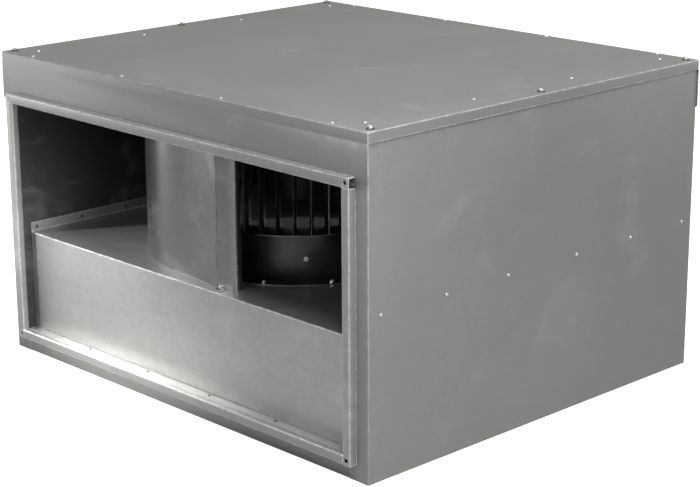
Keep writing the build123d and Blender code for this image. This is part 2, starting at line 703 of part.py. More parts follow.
def nozzle_edges(outset):
    """One face of the nozzle, from its flange's edge up to its throat, in the XZ plane."""
    base = SHELF_TOP + outset
    mouth = (NOZZLE_MOUTH_R, base)
    throat = (THROAT_R + outset, NOZZLE_TOP)
    bell = Spline(mouth, throat, tangents=[(-1, 0), (0, 1)])
    return [Line((NOZZLE_FLANGE_R, base), mouth), bell]


def inlet_nozzle():
    """Flared ring that leads the air up from the chamber into the impeller."""
    face = Plane.XZ * closed_face(nozzle_edges(NOZZLE_SHEET), nozzle_edges(0))
    nozzle = AXIS * revolve(face, Axis.Z, 360)
    hole = Cylinder(NIPPLE_R + FIT_GAP, 3 * NIPPLE_LENGTH, align=UP)
    nozzle -= NIPPLE_FRAME * Pos(0, 0, -NIPPLE_LENGTH) * hole
    return drilled(nozzle, nozzle_screw_spots(SHELF_TOP), SCREW_R + FIT_GAP, 3 * NOZZLE_SHEET)


def measuring_nipple(nozzle):
    """Pressure tapping in the nozzle's side, with a collar that seats on its outside."""
    nipple = Pos(0, 0, -NIPPLE_LENGTH / 2) * Cylinder(NIPPLE_R, NIPPLE_LENGTH * 1.5, align=UP)
    nipple += Cylinder(NIPPLE_COLLAR_R, NIPPLE_LENGTH / 2, align=UP)
    nipple = NIPPLE_FRAME * nipple - nozzle
    return nipple.solids().sort_by(SortBy.VOLUME)[-1]


# ---------------------------------------------------------------- impeller

def impeller_blades():
    """All blades of the drum, between the inlet ring and the back plate."""
    centre_r = INNER_R + BLADE_DEPTH / 2
    reach = BLADE_DEPTH / 2 - DRUM_RIM
    drop = (BLADE_ARC_R ** 2 - reach ** 2) ** 0.5
    spread = degrees(atan2(reach, drop))
    outer = CenterArc((centre_r, -drop), BLADE_ARC_R + BLADE_SHEET, 90 - spread, 2 * spread)
    inner = CenterArc((centre_r, -drop), BLADE_ARC_R, 90 - spread, 2 * spread)
    face = closed_face([outer], [inner])
    one = Pos(0, 0, BLADE_FLOOR) * extrude(face, BLADE_HEIGHT)
    step = 360 / BLADE_COUNT
    return Compound([(AXIS * Rot(0, 0, n * step) * one).solid() for n in range(BLADE_COUNT)])


def impeller_ring():
    """Ring round the drum's inlet, with a short lip round the nozzle."""
    ring = tube(IMPELLER_R + DRUM_RIM, INNER_R, BLADE_FLOOR - DRUM_SHEET, BLADE_FLOOR)
    return AXIS * (ring + tube(INNER_R + DRUM_SHEET, INNER_R, BLADE_FLOOR - RING_LIP, BLADE_FLOOR))


def impeller_back_plate():
    """Disc over the drum, open in the middle for the stator's flange."""
    plate = tube(IMPELLER_R + DRUM_RIM, ROTOR_R - ROTOR_WALL, DRUM_TOP, DRUM_TOP + DRUM_SHEET)
    return drilled(AXIS * plate, hub_rivet_spots(), RIVET_R + FIT_GAP, 2 * DRUM_SHEET)


def hub_rivet_spots():
    """Rivets that hold the back plate to the rotor's flange."""
    spots = []
    for n in range(HUB_RIVET_COUNT):
        angle = radians(360 * n / HUB_RIVET_COUNT)
        radius = ROTOR_R + ROTOR_FLANGE / 2
        point = (IMPELLER_X + radius * cos(angle), IMPELLER_Y + radius * sin(angle), DRUM_TOP + DRUM_SHEET)
        spots.append((point, (0, 0, 1)))
    return spots


# ---------------------------------------------------------------- motor

def rotor_shell():
    """Cup-shaped outer rotor, with a flange for the impeller and a seat for the shaft."""
    shell = tube(ROTOR_R, ROTOR_R - ROTOR_WALL, ROTOR_BOTTOM, ROTOR_TOP)
    shell += tube(ROTOR_R, SHAFT_R + FIT_GAP, ROTOR_BOTTOM, ROTOR_BOTTOM + ROTOR_FLOOR)
    shell += tube(2 * SHAFT_R, SHAFT_R + FIT_GAP, ROTOR_BOTTOM, ROTOR_BOTTOM + 2 * ROTOR_FLOOR)
    shell += tube(ROTOR_R + ROTOR_FLANGE, ROTOR_R - ROTOR_WALL, ROTOR_TOP - ROTOR_FLANGE_SHEET, ROTOR_TOP)
    grip = DRUM_SHEET + ROTOR_FLANGE_SHEET
    return drilled(AXIS * shell, hub_rivet_spots(), RIVET_R + FIT_GAP, 2 * grip)


def rotor_core():
    """Laminated ring inside the rotor shell."""
    outer = ROTOR_R - ROTOR_WALL
    return AXIS * tube(outer, outer - ROTOR_CORE, STATOR_CORE_Z, STATOR_CORE_Z + STATOR_STACK)


def motor_shaft():
    """Shaft fixed in the rotor and running in the stator's two bearings."""
    shaft = Cylinder(SHAFT_R, STATOR_TOP - ROTOR_BOTTOM, align=UP)
    return AXIS * Pos(0, 0, ROTOR_BOTTOM) * chamfer(shaft.edges(), 1)


def bearing_floors():
    """Height of each bearing's lower face."""
    return (STATOR_CORE_Z + BEARING_WIDTH / 4, STATOR_TOP - 2 * BEARING_WIDTH)


def stator_flange():
    """Die-cast stator bush: a disc under the top plate and a neck that holds the bearings."""
    low = bearing_floors()[0]
    bush = tube(STATOR_FLANGE_R, NECK_R - NECK_WALL, STATOR_TOP, SCROLL_TOP)
    bush += Pos(0, 0, STATOR_TOP) * Cylinder(NECK_R, STATOR_FLANGE / 2, align=UP)
    bush += tube(NECK_R, BEARING_R - BEARING_SHOULDER, low, STATOR_TOP)
    for floor in bearing_floors():
        bush -= Pos(0, 0, floor) * Cylinder(BEARING_R + FIT_GAP, BEARING_WIDTH, align=UP)
    return drilled(AXIS * bush, motor_bolt_spots(), SCREW_R + FIT_GAP, TOP_PLATE + STATOR_FLANGE)


def motor_bearings():
    """Two ball bearings, each as one ring."""
    rings = []
    for floor in bearing_floors():
        ring = tube(BEARING_R, SHAFT_R + SHAFT_FIT, floor, floor + BEARING_WIDTH)
        rings.append((AXIS * ring).solid())
    return Compound(rings)


def stator_core():
    """Laminated stator on the neck."""
    return AXIS * tube(STATOR_R, NECK_R + FIT_GAP, STATOR_CORE_Z, STATOR_CORE_Z + STATOR_STACK)


def stator_windings():
    """Copper end turns under and over the stator core."""
    outer = STATOR_R - WINDING_INSET
    inner = NECK_R + WINDING_INSET
    low = tube(outer, inner, STATOR_CORE_Z - WINDING, STATOR_CORE_Z)
    top = STATOR_CORE_Z + STATOR_STACK
    high = tube(outer, inner, top, top + WINDING)
    return Compound([(AXIS * fillet(ring.edges(), WINDING / 3)).solid() for ring in (low, high)])


def motor_bolt_spots():
    """Four bolts through the top plate into the stator's flange."""
    spots = []
    for n in range(MOTOR_BOLT_COUNT):
        angle = radians(360 * (n + 0.5) / MOTOR_BOLT_COUNT)
        x = IMPELLER_X + MOTOR_BOLT_CIRCLE * cos(angle)
        y = IMPELLER_Y + MOTOR_BOLT_CIRCLE * sin(angle)
        spots.append(((x, y, SCROLL_TOP + TOP_PLATE), (0, 0, 1)))
    return spots


# ---------------------------------------------------------------- terminal box

def terminal_box():
    """Moulded box on the left wall, open outwards."""
    half = BOX_WIDTH / 2
    x0 = -OUT_X
    x1 = -(OUT_X + BOX_DEPTH)
    box = slab(x0, x1, BOX_Y - half, BOX_Y + half, BOX_Z - half, BOX_Z + half)
    inner = half - BOX_WALL
    box -= slab(x0 - BOX_WALL, x1, BOX_Y - inner, BOX_Y + inner, BOX_Z - inner, BOX_Z + inner)
    for _, y, z in lid_corners():
        box += rod((x0 - BOX_WALL, y, z), (-1, 0, 0), BOX_POST_R, BOX_DEPTH - BOX_WALL)
        box -= rod((x0 - 2 * BOX_WALL, y, z), (-1, 0, 0), SCREW_R + FIT_GAP, BOX_DEPTH)
    glands = [((gland_x(), y, BOX_Z - half), (0, 0, -1)) for y in gland_rows()]
    box = drilled(box, glands, GLAND_THREAD_R + FIT_GAP, 2 * BOX_WALL)
    return drilled(box, [((x0, BOX_Y, BOX_Z), (-1, 0, 0))], CABLE_HOLE_R, 2 * BOX_WALL)


def lid_corners():
    """The lid's four screws, on the lid's outer face."""
    reach = BOX_WIDTH / 2 - LID_SCREW_INSET
    x = -(OUT_X + BOX_DEPTH + BOX_LID)
    return [(x, BOX_Y + dy * reach, BOX_Z + dz * reach) for dy in SIDES for dz in SIDES]


def terminal_box_lid():
    """Lid of the terminal box."""
    half = BOX_WIDTH / 2
    x0 = -(OUT_X + BOX_DEPTH)
    lid = slab(x0, x0 - BOX_LID, BOX_Y - half, BOX_Y + half, BOX_Z - half, BOX_Z + half)
    lid = fillet(lid.faces().sort_by(Axis.X)[0].edges(), BOX_LID_ROUND)
    spots = [(corner, (-1, 0, 0)) for corner in lid_corners()]
    return drilled(lid, spots, SCREW_R + FIT_GAP, 2 * BOX_LID)


def terminal_strip():
    """Row of terminal blocks on the box's floor."""
    x0 = -(OUT_X + BOX_WALL)
    x1 = x0 - TERMINAL_HEIGHT
    half = TERMINAL_COUNT * TERMINAL_PITCH / 2
    z = BOX_Z + TERMINAL_RISE
    strip = slab(x0, x1, BOX_Y - half, BOX_Y + half, z - TERMINAL_WIDTH / 2, z + TERMINAL_WIDTH / 2)
    for n in range(TERMINAL_COUNT):
        y = BOX_Y - half + (n + 0.5) * TERMINAL_PITCH
        strip -= rod((x1, y, z), (1, 0, 0), TERMINAL_SCREW_R, TERMINAL_SCREW_DEPTH)
    return strip


def gland_x():
    """How far out the glands sit."""
    return -(OUT_X + BOX_DEPTH / 2)


def gland_rows():
    """Place of each gland along the box."""
    return (BOX_Y - BOX_WIDTH / 4, BOX_Y + BOX_WIDTH / 4)


def cable_glands():
    """Two cable glands in the underside of the terminal box."""
    glands = []
    base = BOX_Z - BOX_WIDTH / 2
    collar = base - GLAND_COLLAR
    for y in gland_rows():
        body = tube(GLAND_R, GLAND_BORE_R, collar, base)
        body += tube(GLAND_THREAD_R, GLAND_BORE_R, collar, base + GLAND_THREAD)
        body += tube(GLAND_NUT_R, GLAND_BORE_R, collar - GLAND_NUT, collar)
        glands.append((Pos(gland_x(), y, 0) * body).solid())
    return Compound(glands)


def wall_grommet():
    """Sleeve that leads the motor cable through the left wall."""
    length = OUT_X + BOX_WALL - IN_X
    sleeve = Cylinder(CABLE_HOLE_R - FIT_GAP, length, align=UP)
    sleeve -= Cylinder(CABLE_HOLE_R - GROMMET_WALL, length, align=UP)
    return Plane(origin=(-IN_X, BOX_Y, BOX_Z), z_dir=(-1, 0, 0)) * sleeve


def cable_way(panel):
    """A left-wall sheet with the grommet's hole in it."""
    length = OUT_X - IN_X + 2 * LINER
    return panel - rod((-(IN_X - LINER), BOX_Y, BOX_Z), (-1, 0, 0), CABLE_HOLE_R, length)


# ---------------------------------------------------------------- build

os.makedirs("parts", exist_ok=True)

save("bottom_panel", bottom_panel())
save("left_side_panel", cable_way(side_panel(-1)))
save("right_side_panel", side_panel(1))
save("left_liner", cable_way(side_liner(-1)))
save("right_liner", side_liner(1))
save("floor_liner", floor_liner())
save("left_stiffener", stiffener(-1))
save("right_stiffener", stiffener(1))
save("left_insulation", side_wool(-1))
save("right_insulation", side_wool(1))
save("floor_insulation", floor_wool())
save("side_rivets", placed(domed_rivet(2 * SKIN), side_rivet_spots(-1) + side_rivet_spots(1)))

for rail_name, rail_shape in (("left_rail", side_rail(-1)), ("right_rail", side_rail(1)),
                              ("top_rail", top_rail()), ("bottom_rail", bottom_rail())):
    save("outlet_" + rail_name, rail_shape)
    save("inlet_" + rail_name, both_ends(rail_shape))
flange_rivet = domed_rivet(LINER + FLANGE_SHEET)
save("outlet_rivets", placed(flange_rivet, flange_rivet_spots(-1)))
save("inlet_rivets", placed(flange_rivet, flange_rivet_spots(1)))

save("top_cover", top_cover())
save("cover_pan", cover_pan())
save("cover_insulation", cover_wool())
save("cover_gasket", cover_gasket())
save("cover_rivets", placed(domed_rivet(SKIN + LINER), roof_rivet_spots()))
save("cover_rivet_nuts", placed(rivet_nut(), cover_bolt_spots(RIM_Z)))
save("cover_washers", placed(washer(), cover_bolt_spots(CASING_HEIGHT)))
bolt_grip = WASHER + SKIN + GASKET + RIVET_NUT_DEPTH
save("cover_bolts", placed(hex_screw(bolt_grip), cover_bolt_spots(CASING_HEIGHT + WASHER)))

save("shelf_plate", shelf_plate())
save("closing_plate", closing_plate())
wall_rivets = []
for wall in SIDES:
    wall_rivets += shelf_rivet_spots(wall) + closing_plate_rivet_spots(wall)
shelf_rivet = domed_rivet(SHELF_SHEET + LINER)
save("shelf_rivets", placed(shelf_rivet, wall_rivets + [tongue_rivet_spot(SHELF_TOP + SCROLL_SHEET)]))

save("scroll_wall", scroll_wall())
save("tongue_plate", tongue_plate())
save("scroll_top_plate", top_plate())
save("scroll_brackets", Compound([(frame * bracket()).solid() for frame in bracket_frames()]))
save("scroll_screws", top_plate_screws())

nozzle_ring = inlet_nozzle()
save("inlet_nozzle", nozzle_ring)
save("measuring_nipple", measuring_nipple(nozzle_ring))
nozzle_screw = hex_screw(NOZZLE_SHEET + SHELF_SHEET)
save("nozzle_screws", placed(nozzle_screw, nozzle_screw_spots(SHELF_TOP + NOZZLE_SHEET)))

save("impeller_ring", impeller_ring())
save("impeller_blades", impeller_blades())
save("impeller_back_plate", impeller_back_plate())
save("hub_rivets", placed(domed_rivet(DRUM_SHEET + ROTOR_FLANGE_SHEET), hub_rivet_spots()))

save("rotor_shell", rotor_shell())
save("rotor_core", rotor_core())
save("motor_shaft", motor_shaft())
save("motor_bearings", motor_bearings())
save("stator_flange", stator_flange())
save("stator_core", stator_core())
save("stator_windings", stator_windings())
save("motor_bolts", placed(hex_screw(TOP_PLATE + STATOR_FLANGE - MOTOR_BOLT_TIP_GAP), motor_bolt_spots()))

save("terminal_box", terminal_box())
save("terminal_box_lid", terminal_box_lid())
lid_screw = hex_screw(BOX_LID + BOX_DEPTH / 3)
save("terminal_lid_screws", placed(lid_screw, [(corner, (-1, 0, 0)) for corner in lid_corners()]))
save("terminal_strip", terminal_strip())
save("cable_glands", cable_glands())
save("wall_grommet", wall_grommet())
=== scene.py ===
import math
import bmesh
import bpy
from mathutils import Matrix, Vector


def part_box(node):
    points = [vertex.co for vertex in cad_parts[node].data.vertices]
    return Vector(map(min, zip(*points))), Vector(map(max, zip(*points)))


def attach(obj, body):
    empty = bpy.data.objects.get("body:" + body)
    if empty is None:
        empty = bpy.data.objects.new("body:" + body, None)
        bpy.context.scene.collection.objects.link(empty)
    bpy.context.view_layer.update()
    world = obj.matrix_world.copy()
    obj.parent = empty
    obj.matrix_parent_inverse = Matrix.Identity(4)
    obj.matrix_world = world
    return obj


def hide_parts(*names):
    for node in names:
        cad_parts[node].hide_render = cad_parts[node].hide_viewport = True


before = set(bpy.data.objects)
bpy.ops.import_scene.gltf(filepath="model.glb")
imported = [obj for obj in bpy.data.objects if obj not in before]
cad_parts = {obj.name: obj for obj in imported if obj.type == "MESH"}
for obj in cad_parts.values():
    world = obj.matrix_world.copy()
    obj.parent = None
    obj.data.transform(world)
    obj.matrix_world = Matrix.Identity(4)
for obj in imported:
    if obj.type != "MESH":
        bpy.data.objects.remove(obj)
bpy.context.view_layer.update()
scene = bpy.context.scene
MM = 0.001


# ---------------------------------------------------------------- camera, floor and lights
# The fan stands on a plain pale floor, seen from its outlet side and a little above. Broad
# panels light it from overhead, the front, the right and behind. A strip on the left and a
# narrow lamp light the mouth, and the pale room fills the rest.

def aim(azimuth, elevation, roll):
    """Axes of a camera that looks down on the fan from an azimuth and elevation, in degrees."""
    az = math.radians(azimuth)
    el = math.radians(elevation)
    back = Vector((math.sin(az) * math.cos(el), -math.cos(az) * math.cos(el), math.sin(el)))
    right = Vector((0, 0, 1)).cross(back).normalized()
    up = back.cross(right)
    turn = math.radians(roll)
    rolled_right = right * math.cos(turn) + up * math.sin(turn)
    rolled_up = up * math.cos(turn) - right * math.sin(turn)
    return rolled_right, rolled_up, back


right, up, back = aim(46.125, 16.075, -0.293)
bpy.ops.object.camera_add()
camera = bpy.context.object
camera.name = "camera"
camera.data.lens = 99.28
camera.data.sensor_width = 36.0
camera.matrix_world = Matrix((right, up, back)).transposed().to_4x4()
camera.location = Vector((0.092, -0.076, 0.283)) + back * 4.0
scene.camera = camera
scene.view_settings.view_transform = "Standard"

bpy.ops.mesh.primitive_plane_add(size=40, location=(0, 0, 0))
floor = bpy.context.object
floor.name = "floor"
paper = bpy.data.materials.new("pale_floor")
paper.use_nodes = True
paper_shader = paper.node_tree.nodes["Principled BSDF"]
paper_shader.inputs["Base Color"].default_value = (0.3, 0.3, 0.3, 1)
paper_shader.inputs["Roughness"].default_value = 0.9
paper_shader.inputs["Emission Color"].default_value = (1, 1, 1, 1)
seen_directly = paper.node_tree.nodes.new("ShaderNodeLightPath").outputs["Is Camera Ray"]
glow = paper.node_tree.nodes.new("ShaderNodeMath")
glow.operation = "MULTIPLY"
glow.inputs[1].default_value = 1.1
paper.node_tree.links.new(seen_directly, glow.inputs[0])
paper.node_tree.links.new(glow.outputs[0], paper_shader.inputs["Emission Strength"])
floor.data.materials.append(paper)

world = bpy.data.worlds.new("pale_room")
world.use_nodes = True
world.node_tree.nodes["Background"].inputs["Color"].default_value = (1, 1, 1, 1)
world.node_tree.nodes["Background"].inputs["Strength"].default_value = 0.37
scene.world = world


def panel_light(name, azimuth, elevation, distance, size, power):
    """A rectangular area light, given as width and height, that faces the middle of the fan."""
    _, _, out = aim(azimuth, elevation, 0)
    bpy.ops.object.light_add(type="AREA", location=Vector((0, 0, 0.3)) + out * distance)
    light = bpy.context.object
    light.name = name
    light.data.shape = "RECTANGLE"
    light.data.size = size[0]
    light.data.size_y = size[1]
    light.data.energy = power
    light.rotation_euler = out.to_track_quat("Z", "Y").to_euler()


panel_light("overhead_panel", 62, 62, 4.0, (1.4, 1.4), 225)
panel_light("right_panel", 78, 12, 4.5, (1.6, 1.6), 62)
panel_light("rear_panel", 165, 14, 4.5, (1.4, 1.4), 38)
panel_light("front_panel", 2, 20, 4.0, (1.2, 1.2), 26)
panel_light("side_strip", -62, 2, 3.0, (0.08, 0.5), 9)

_, _, out = aim(-32, 26, 0)
mouth = Vector((-0.25, -0.45, 0.17))
bpy.ops.object.light_add(type="SPOT", location=mouth + out * 3.0)
mouth_lamp = bpy.context.object
mouth_lamp.name = "mouth_lamp"
mouth_lamp.data.energy = 1250
mouth_lamp.data.spot_size = math.radians(12)
mouth_lamp.data.spot_blend = 1.0
mouth_lamp.data.shadow_soft_size = 0.16
mouth_lamp.rotation_euler = out.to_track_quat("Z", "Y").to_euler()


# ---------------------------------------------------------------- bottom panel
# The casing's floor tray: 1.2 mm galvanised sheet folded up at each end, where it closes the
# casing under the duct flange. Rolled zinc has a faint grain and cloudy patches, and its folds are
# rubbed bright, with a painted highlight along them as well.

PANEL_BEND = 2.4 * MM
PANEL_SHEET = 1.2 * MM
UPSTAND_GAP = 1.5 * MM
FIT_GAP = 0.1 * MM


def put(tree, kind, settings, inputs):
    """Adds a shader node. An input given as a socket is linked, and any other value is set."""
    made = tree.nodes.new("ShaderNode" + kind)
    for key, value in settings.items():
        setattr(made, key, value)
    for key, value in inputs.items():
        if isinstance(value, bpy.types.NodeSocket):
            tree.links.new(value, made.inputs[key])
        else:
            made.inputs[key].default_value = value
    return made


def maths(tree, operation, *values):
    """One step of arithmetic on sockets or numbers."""
    return put(tree, "Math", {"operation": operation}, dict(enumerate(values))).outputs[0]


def blend_colour(tree, kind, share, low, high):
    """Two colours mixed by a share, as a socket."""
    mix = put(tree, "Mix", {"data_type": "RGBA", "blend_type": kind}, {0: share, 6: low, 7: high})
    return mix.outputs[2]


def start_group(name, ins, outs):
    """A shader node group with named inputs and outputs, and the sockets inside it."""
    group = bpy.data.node_groups.new(name, "ShaderNodeTree")
    for socket_name, kind, value in ins:
        socket = group.interface.new_socket(socket_name, in_out="INPUT", socket_type="NodeSocket" + kind)
        socket.default_value = value
    for socket_name, kind in outs:
        group.interface.new_socket(socket_name, in_out="OUTPUT", socket_type="NodeSocket" + kind)
    way_in = group.nodes.new("NodeGroupInput")
    way_out = group.nodes.new("NodeGroupOutput")
    return group, way_in.outputs, way_out.inputs


def send(group, way_out, **results):
    """Links the named results to a group's outputs."""
    for socket_name, value in results.items():
        group.links.new(value, way_out[socket_name])


def use_group(tree, name, inputs):
    """Places a node group in a material and gives its outputs."""
    made = tree.nodes.new("ShaderNodeGroup")
    made.node_tree = bpy.data.node_groups[name]
    for key, value in inputs.items():
        if isinstance(value, bpy.types.NodeSocket):
            tree.links.new(value, made.inputs[key])
        else:
            made.inputs[key].default_value = value
    return made.outputs


def zinc_skin_group():
    """Rolled zinc: grain along the roll, cloudy patches and soft spangle, as colour and height."""
    group, ins, outs = start_group(
        "zinc_skin",
        [("Colour", "Color", (0.3, 0.3, 0.3, 1)), ("Grain", "Vector", (300, 6, 300)),
         ("Clouds", "Float", 0.1), ("Spangle", "Float", 0.05), ("Streaks", "Float", 0.05)],
        [("Colour", "Color"), ("Patches", "Float"), ("Height", "Float")])
    place = put(group, "TexCoord", {}, {}).outputs["Object"]
    along = put(group, "Mapping", {}, {"Vector": place, "Scale": ins["Grain"]}).outputs[0]
    grain = put(group, "TexNoise", {}, {"Vector": along, "Scale": 1.0, "Detail": 3.0}).outputs[0]
    clouds = put(group, "TexNoise", {}, {"Vector": place, "Scale": 3.2, "Detail": 4.0, "Roughness": 0.6})
    cells = put(group, "TexVoronoi", {}, {"Vector": place, "Scale": 75.0, "Randomness": 1.0})
    tint = put(group, "SeparateColor", {}, {0: cells.outputs["Color"]}).outputs[0]
    tone = maths(group, "MULTIPLY", maths(group, "SUBTRACT", clouds.outputs[0], 0.5), ins["Clouds"])
    flake = maths(group, "MULTIPLY", maths(group, "SUBTRACT", tint, 0.5), ins["Spangle"])
    streak = maths(group, "MULTIPLY", maths(group, "SUBTRACT", grain, 0.5), ins["Streaks"])
    sum_of = maths(group, "ADD", maths(group, "ADD", tone, flake), maths(group, "ADD", streak, 1.0))
    shade = put(group, "CombineColor", {}, {0: sum_of, 1: sum_of, 2: sum_of}).outputs[0]
    colour = blend_colour(group, "MULTIPLY", 1.0, ins["Colour"], shade)
    sway = put(group, "TexNoise", {}, {"Vector": place, "Scale": 7.0, "Detail": 1.0}).outputs[0]
    height = maths(group, "ADD", maths(group, "MULTIPLY", grain, 0.05), maths(group, "MULTIPLY", sway, 0.9))
    send(group, outs, Colour=colour, Patches=clouds.outputs[0], Height=height)


def edge_wear_and_highlight_group():
    """Where a fold or a cut edge has been rubbed bright, with a painted highlight along it as well, broken up
    along its length.
    """
    group, ins, outs = start_group(
        "edge_wear_and_highlight",
        [("Width", "Float", 0.0012), ("Amount", "Float", 0.6), ("Breaks", "Float", 60.0)],
        [("Mask", "Float")])
    soft = put(group, "Bevel", {"samples": 4}, {"Radius": ins["Width"]}).outputs[0]
    flat = put(group, "NewGeometry", {}, {}).outputs["True Normal"]
    lean = put(group, "VectorMath", {"operation": "DOT_PRODUCT"}, {0: soft, 1: flat}).outputs["Value"]
    edge = put(group, "MapRange", {"interpolation_type": "SMOOTHSTEP"},
               {"Value": lean, "From Min": 0.995, "From Max": 0.90}).outputs[0]
    place = put(group, "TexCoord", {}, {}).outputs["Object"]
    breaks = put(group, "TexNoise", {}, {"Vector": place, "Scale": ins["Breaks"], "Detail": 2.0}).outputs[0]
    kept = put(group, "MapRange", {}, {"Value": breaks, "From Min": 0.42, "From Max": 0.58,
                                       "To Min": 0.35}).outputs[0]
    mask = maths(group, "MULTIPLY", maths(group, "MULTIPLY", edge, kept), ins["Amount"])
    send(group, outs, Mask=mask)


def handling_group():
    """Marks of handling: wiped smudges and a few fine scratches, as two masks."""
    group, ins, outs = start_group(
        "handling_marks",
        [("Smudge", "Float", 0.5), ("Scratch", "Float", 0.5)],
        [("Smudges", "Float"), ("Scratches", "Float")])
    place = put(group, "TexCoord", {}, {}).outputs["Object"]
    wide = put(group, "TexNoise", {}, {"Vector": place, "Scale": 9.0, "Detail": 5.0,
                                       "Distortion": 0.8}).outputs[0]
    wiped = put(group, "MapRange", {"interpolation_type": "SMOOTHSTEP"},
                {"Value": wide, "From Min": 0.56, "From Max": 0.76}).outputs[0]
    tilted = put(group, "Mapping", {}, {"Vector": place, "Rotation": (0.5, 0.3, 0.7), "Scale": (2, 90, 90)})
    hair = put(group, "TexNoise", {}, {"Vector": tilted.outputs[0], "Scale": 3.0, "Detail": 1.0}).outputs[0]
    thin = maths(group, "ABSOLUTE", maths(group, "SUBTRACT", hair, 0.5))
    line = put(group, "MapRange", {}, {"Value": thin, "From Min": 0.006, "From Max": 0.0}).outputs[0]
    where = put(group, "TexNoise", {}, {"Vector": place, "Scale": 14.0, "Detail": 0.0}).outputs[0]
    some = put(group, "MapRange", {}, {"Value": where, "From Min": 0.6, "From Max": 0.68}).outputs[0]
    scratch = maths(group, "MULTIPLY", maths(group, "MULTIPLY", line, some), ins["Scratch"])
    send(group, outs, Smudges=maths(group, "MULTIPLY", wiped, ins["Smudge"]), Scratches=scratch)


zinc_skin_group()
edge_wear_and_highlight_group()
handling_group()


def zinc_steel(name, grey, rough, metal, grain, looks, wear_highlight, bright):
    """Galvanised sheet. looks gives clouds, spangle and streaks, and wear_highlight the width, amount and
    breaks of the rubbed edges, which carry a painted highlight as well.
    """
    made = bpy.data.materials.new(name)
    made.use_nodes = True
    tree = made.node_tree
    shader = tree.nodes["Principled BSDF"]
    skin = use_group(tree, "zinc_skin", {"Colour": (*grey, 1), "Grain": grain, "Clouds": looks[0],
                                         "Spangle": looks[1], "Streaks": looks[2]})
    marks = use_group(tree, "handling_marks", {"Smudge": looks[3], "Scratch": looks[3]})
    worn_and_highlit = use_group(tree, "edge_wear_and_highlight", {"Width": wear_highlight[0], "Amount": wear_highlight[1], "Breaks": wear_highlight[2]})
    lit = maths(tree, "MULTIPLY", maths(tree, "ADD", marks["Smudges"], marks["Scratches"]), 0.22)
    marked = blend_colour(tree, "MIX", lit, skin["Colour"], (*bright, 1))
    # The rubbed edges are mixed toward the bright colour, partly as wear and partly as a painted highlight
    # along the folds.
    tree.links.new(blend_colour(tree, "MIX", worn_and_highlit["Mask"], marked, (*bright, 1)), shader.inputs["Base Color"])
    patchy = maths(tree, "MULTIPLY_ADD", skin["Patches"], 0.16, rough - 0.08)
    matt = maths(tree, "MULTIPLY_ADD", marks["Smudges"], 0.10, patchy)
    polished = maths(tree, "MULTIPLY_ADD", worn_and_highlit["Mask"], 0.25, matt)
    tree.links.new(polished, shader.inputs["Roughness"])
    shader.inputs["Metallic"].default_value = metal
    bump = put(tree, "Bump", {}, {"Strength": 0.35, "Distance": 0.0006, "Height": skin["Height"]})
    tree.links.new(bump.outputs[0], shader.inputs["Normal"])
    return made


casing_steel = zinc_steel("casing_steel", (0.275, 0.272, 0.264), 0.5, 0.75, (260, 5, 260),
                          (0.10, 0.03, 0.05, 0.22), (0.0024, 0.80, 38.0), (0.86, 0.86, 0.85))


def pick(piece, kind, test):
    """Selects the faces, edges or verts of the piece being edited that pass a test."""
    bpy.ops.mesh.select_mode(type={"faces": "FACE", "edges": "EDGE", "verts": "VERT"}[kind])
    bpy.ops.mesh.select_all(action="DESELECT")
    mesh = bmesh.from_edit_mesh(piece.data)
    for item in getattr(mesh, kind):
        if test(item):
            item.select_set(True)
    bmesh.update_edit_mesh(piece.data)


def middle(item):
    """Middle of a face or an edge."""
    return sum((v.co for v in item.verts), Vector()) / len(item.verts)


def is_fold(edge):
    """True for an edge where two faces of a sheet meet at an angle."""
    return len(edge.link_faces) == 2 and edge.calc_face_angle() > math.radians(20)


def start_box(name, low, high):
    """A block between two corners in metres, being edited."""
    bpy.ops.object.select_all(action="DESELECT")
    bpy.ops.mesh.primitive_cube_add(size=1, location=(Vector(low) + Vector(high)) / 2)
    block = bpy.context.object
    block.name = name
    block.scale = Vector(high) - Vector(low)
    bpy.ops.object.transform_apply(location=True, rotation=True, scale=True)
    bpy.ops.object.mode_set(mode="EDIT")
    return block


def take_off(piece, sides):
    """Deletes the faces that look along any of the given directions."""
    pick(piece, "faces", lambda face: any(face.normal.dot(Vector(side)) > 0.9 for side in sides))
    bpy.ops.mesh.delete(type="FACE")


def put_on(piece, kind, settings):
    """Adds a modifier with its settings and applies it."""
    bpy.ops.object.select_all(action="DESELECT")
    piece.select_set(True)
    bpy.context.view_layer.objects.active = piece
    modifier = piece.modifiers.new(kind.lower(), kind)
    for key, value in settings.items():
        setattr(modifier, key, value)
    bpy.ops.object.modifier_apply(modifier=modifier.name)


def thicken(piece, bend, sheet):
    """Rounds a sheet's folds to an outside radius and gives it its thickness inwards."""
    pick(piece, "edges", is_fold)
    bpy.ops.mesh.bevel(offset=bend, segments=3, profile=0.5)
    bpy.ops.object.mode_set(mode="OBJECT")
    put_on(piece, "SOLIDIFY", {"thickness": sheet, "offset": -1})


def hand_over(piece, material, nodes, body="casing"):
    """Gives a finished piece its finish, its body, and the nodes that it stands for."""
    bpy.ops.object.select_all(action="DESELECT")
    piece.select_set(True)
    bpy.context.view_layer.objects.active = piece
    bpy.ops.object.transform_apply(location=True, rotation=True, scale=True)
    bpy.ops.object.shade_smooth_by_angle(angle=math.radians(32))
    piece.data.materials.clear()
    piece.data.materials.append(material)
    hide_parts(*nodes)
    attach(piece, body)
    return piece


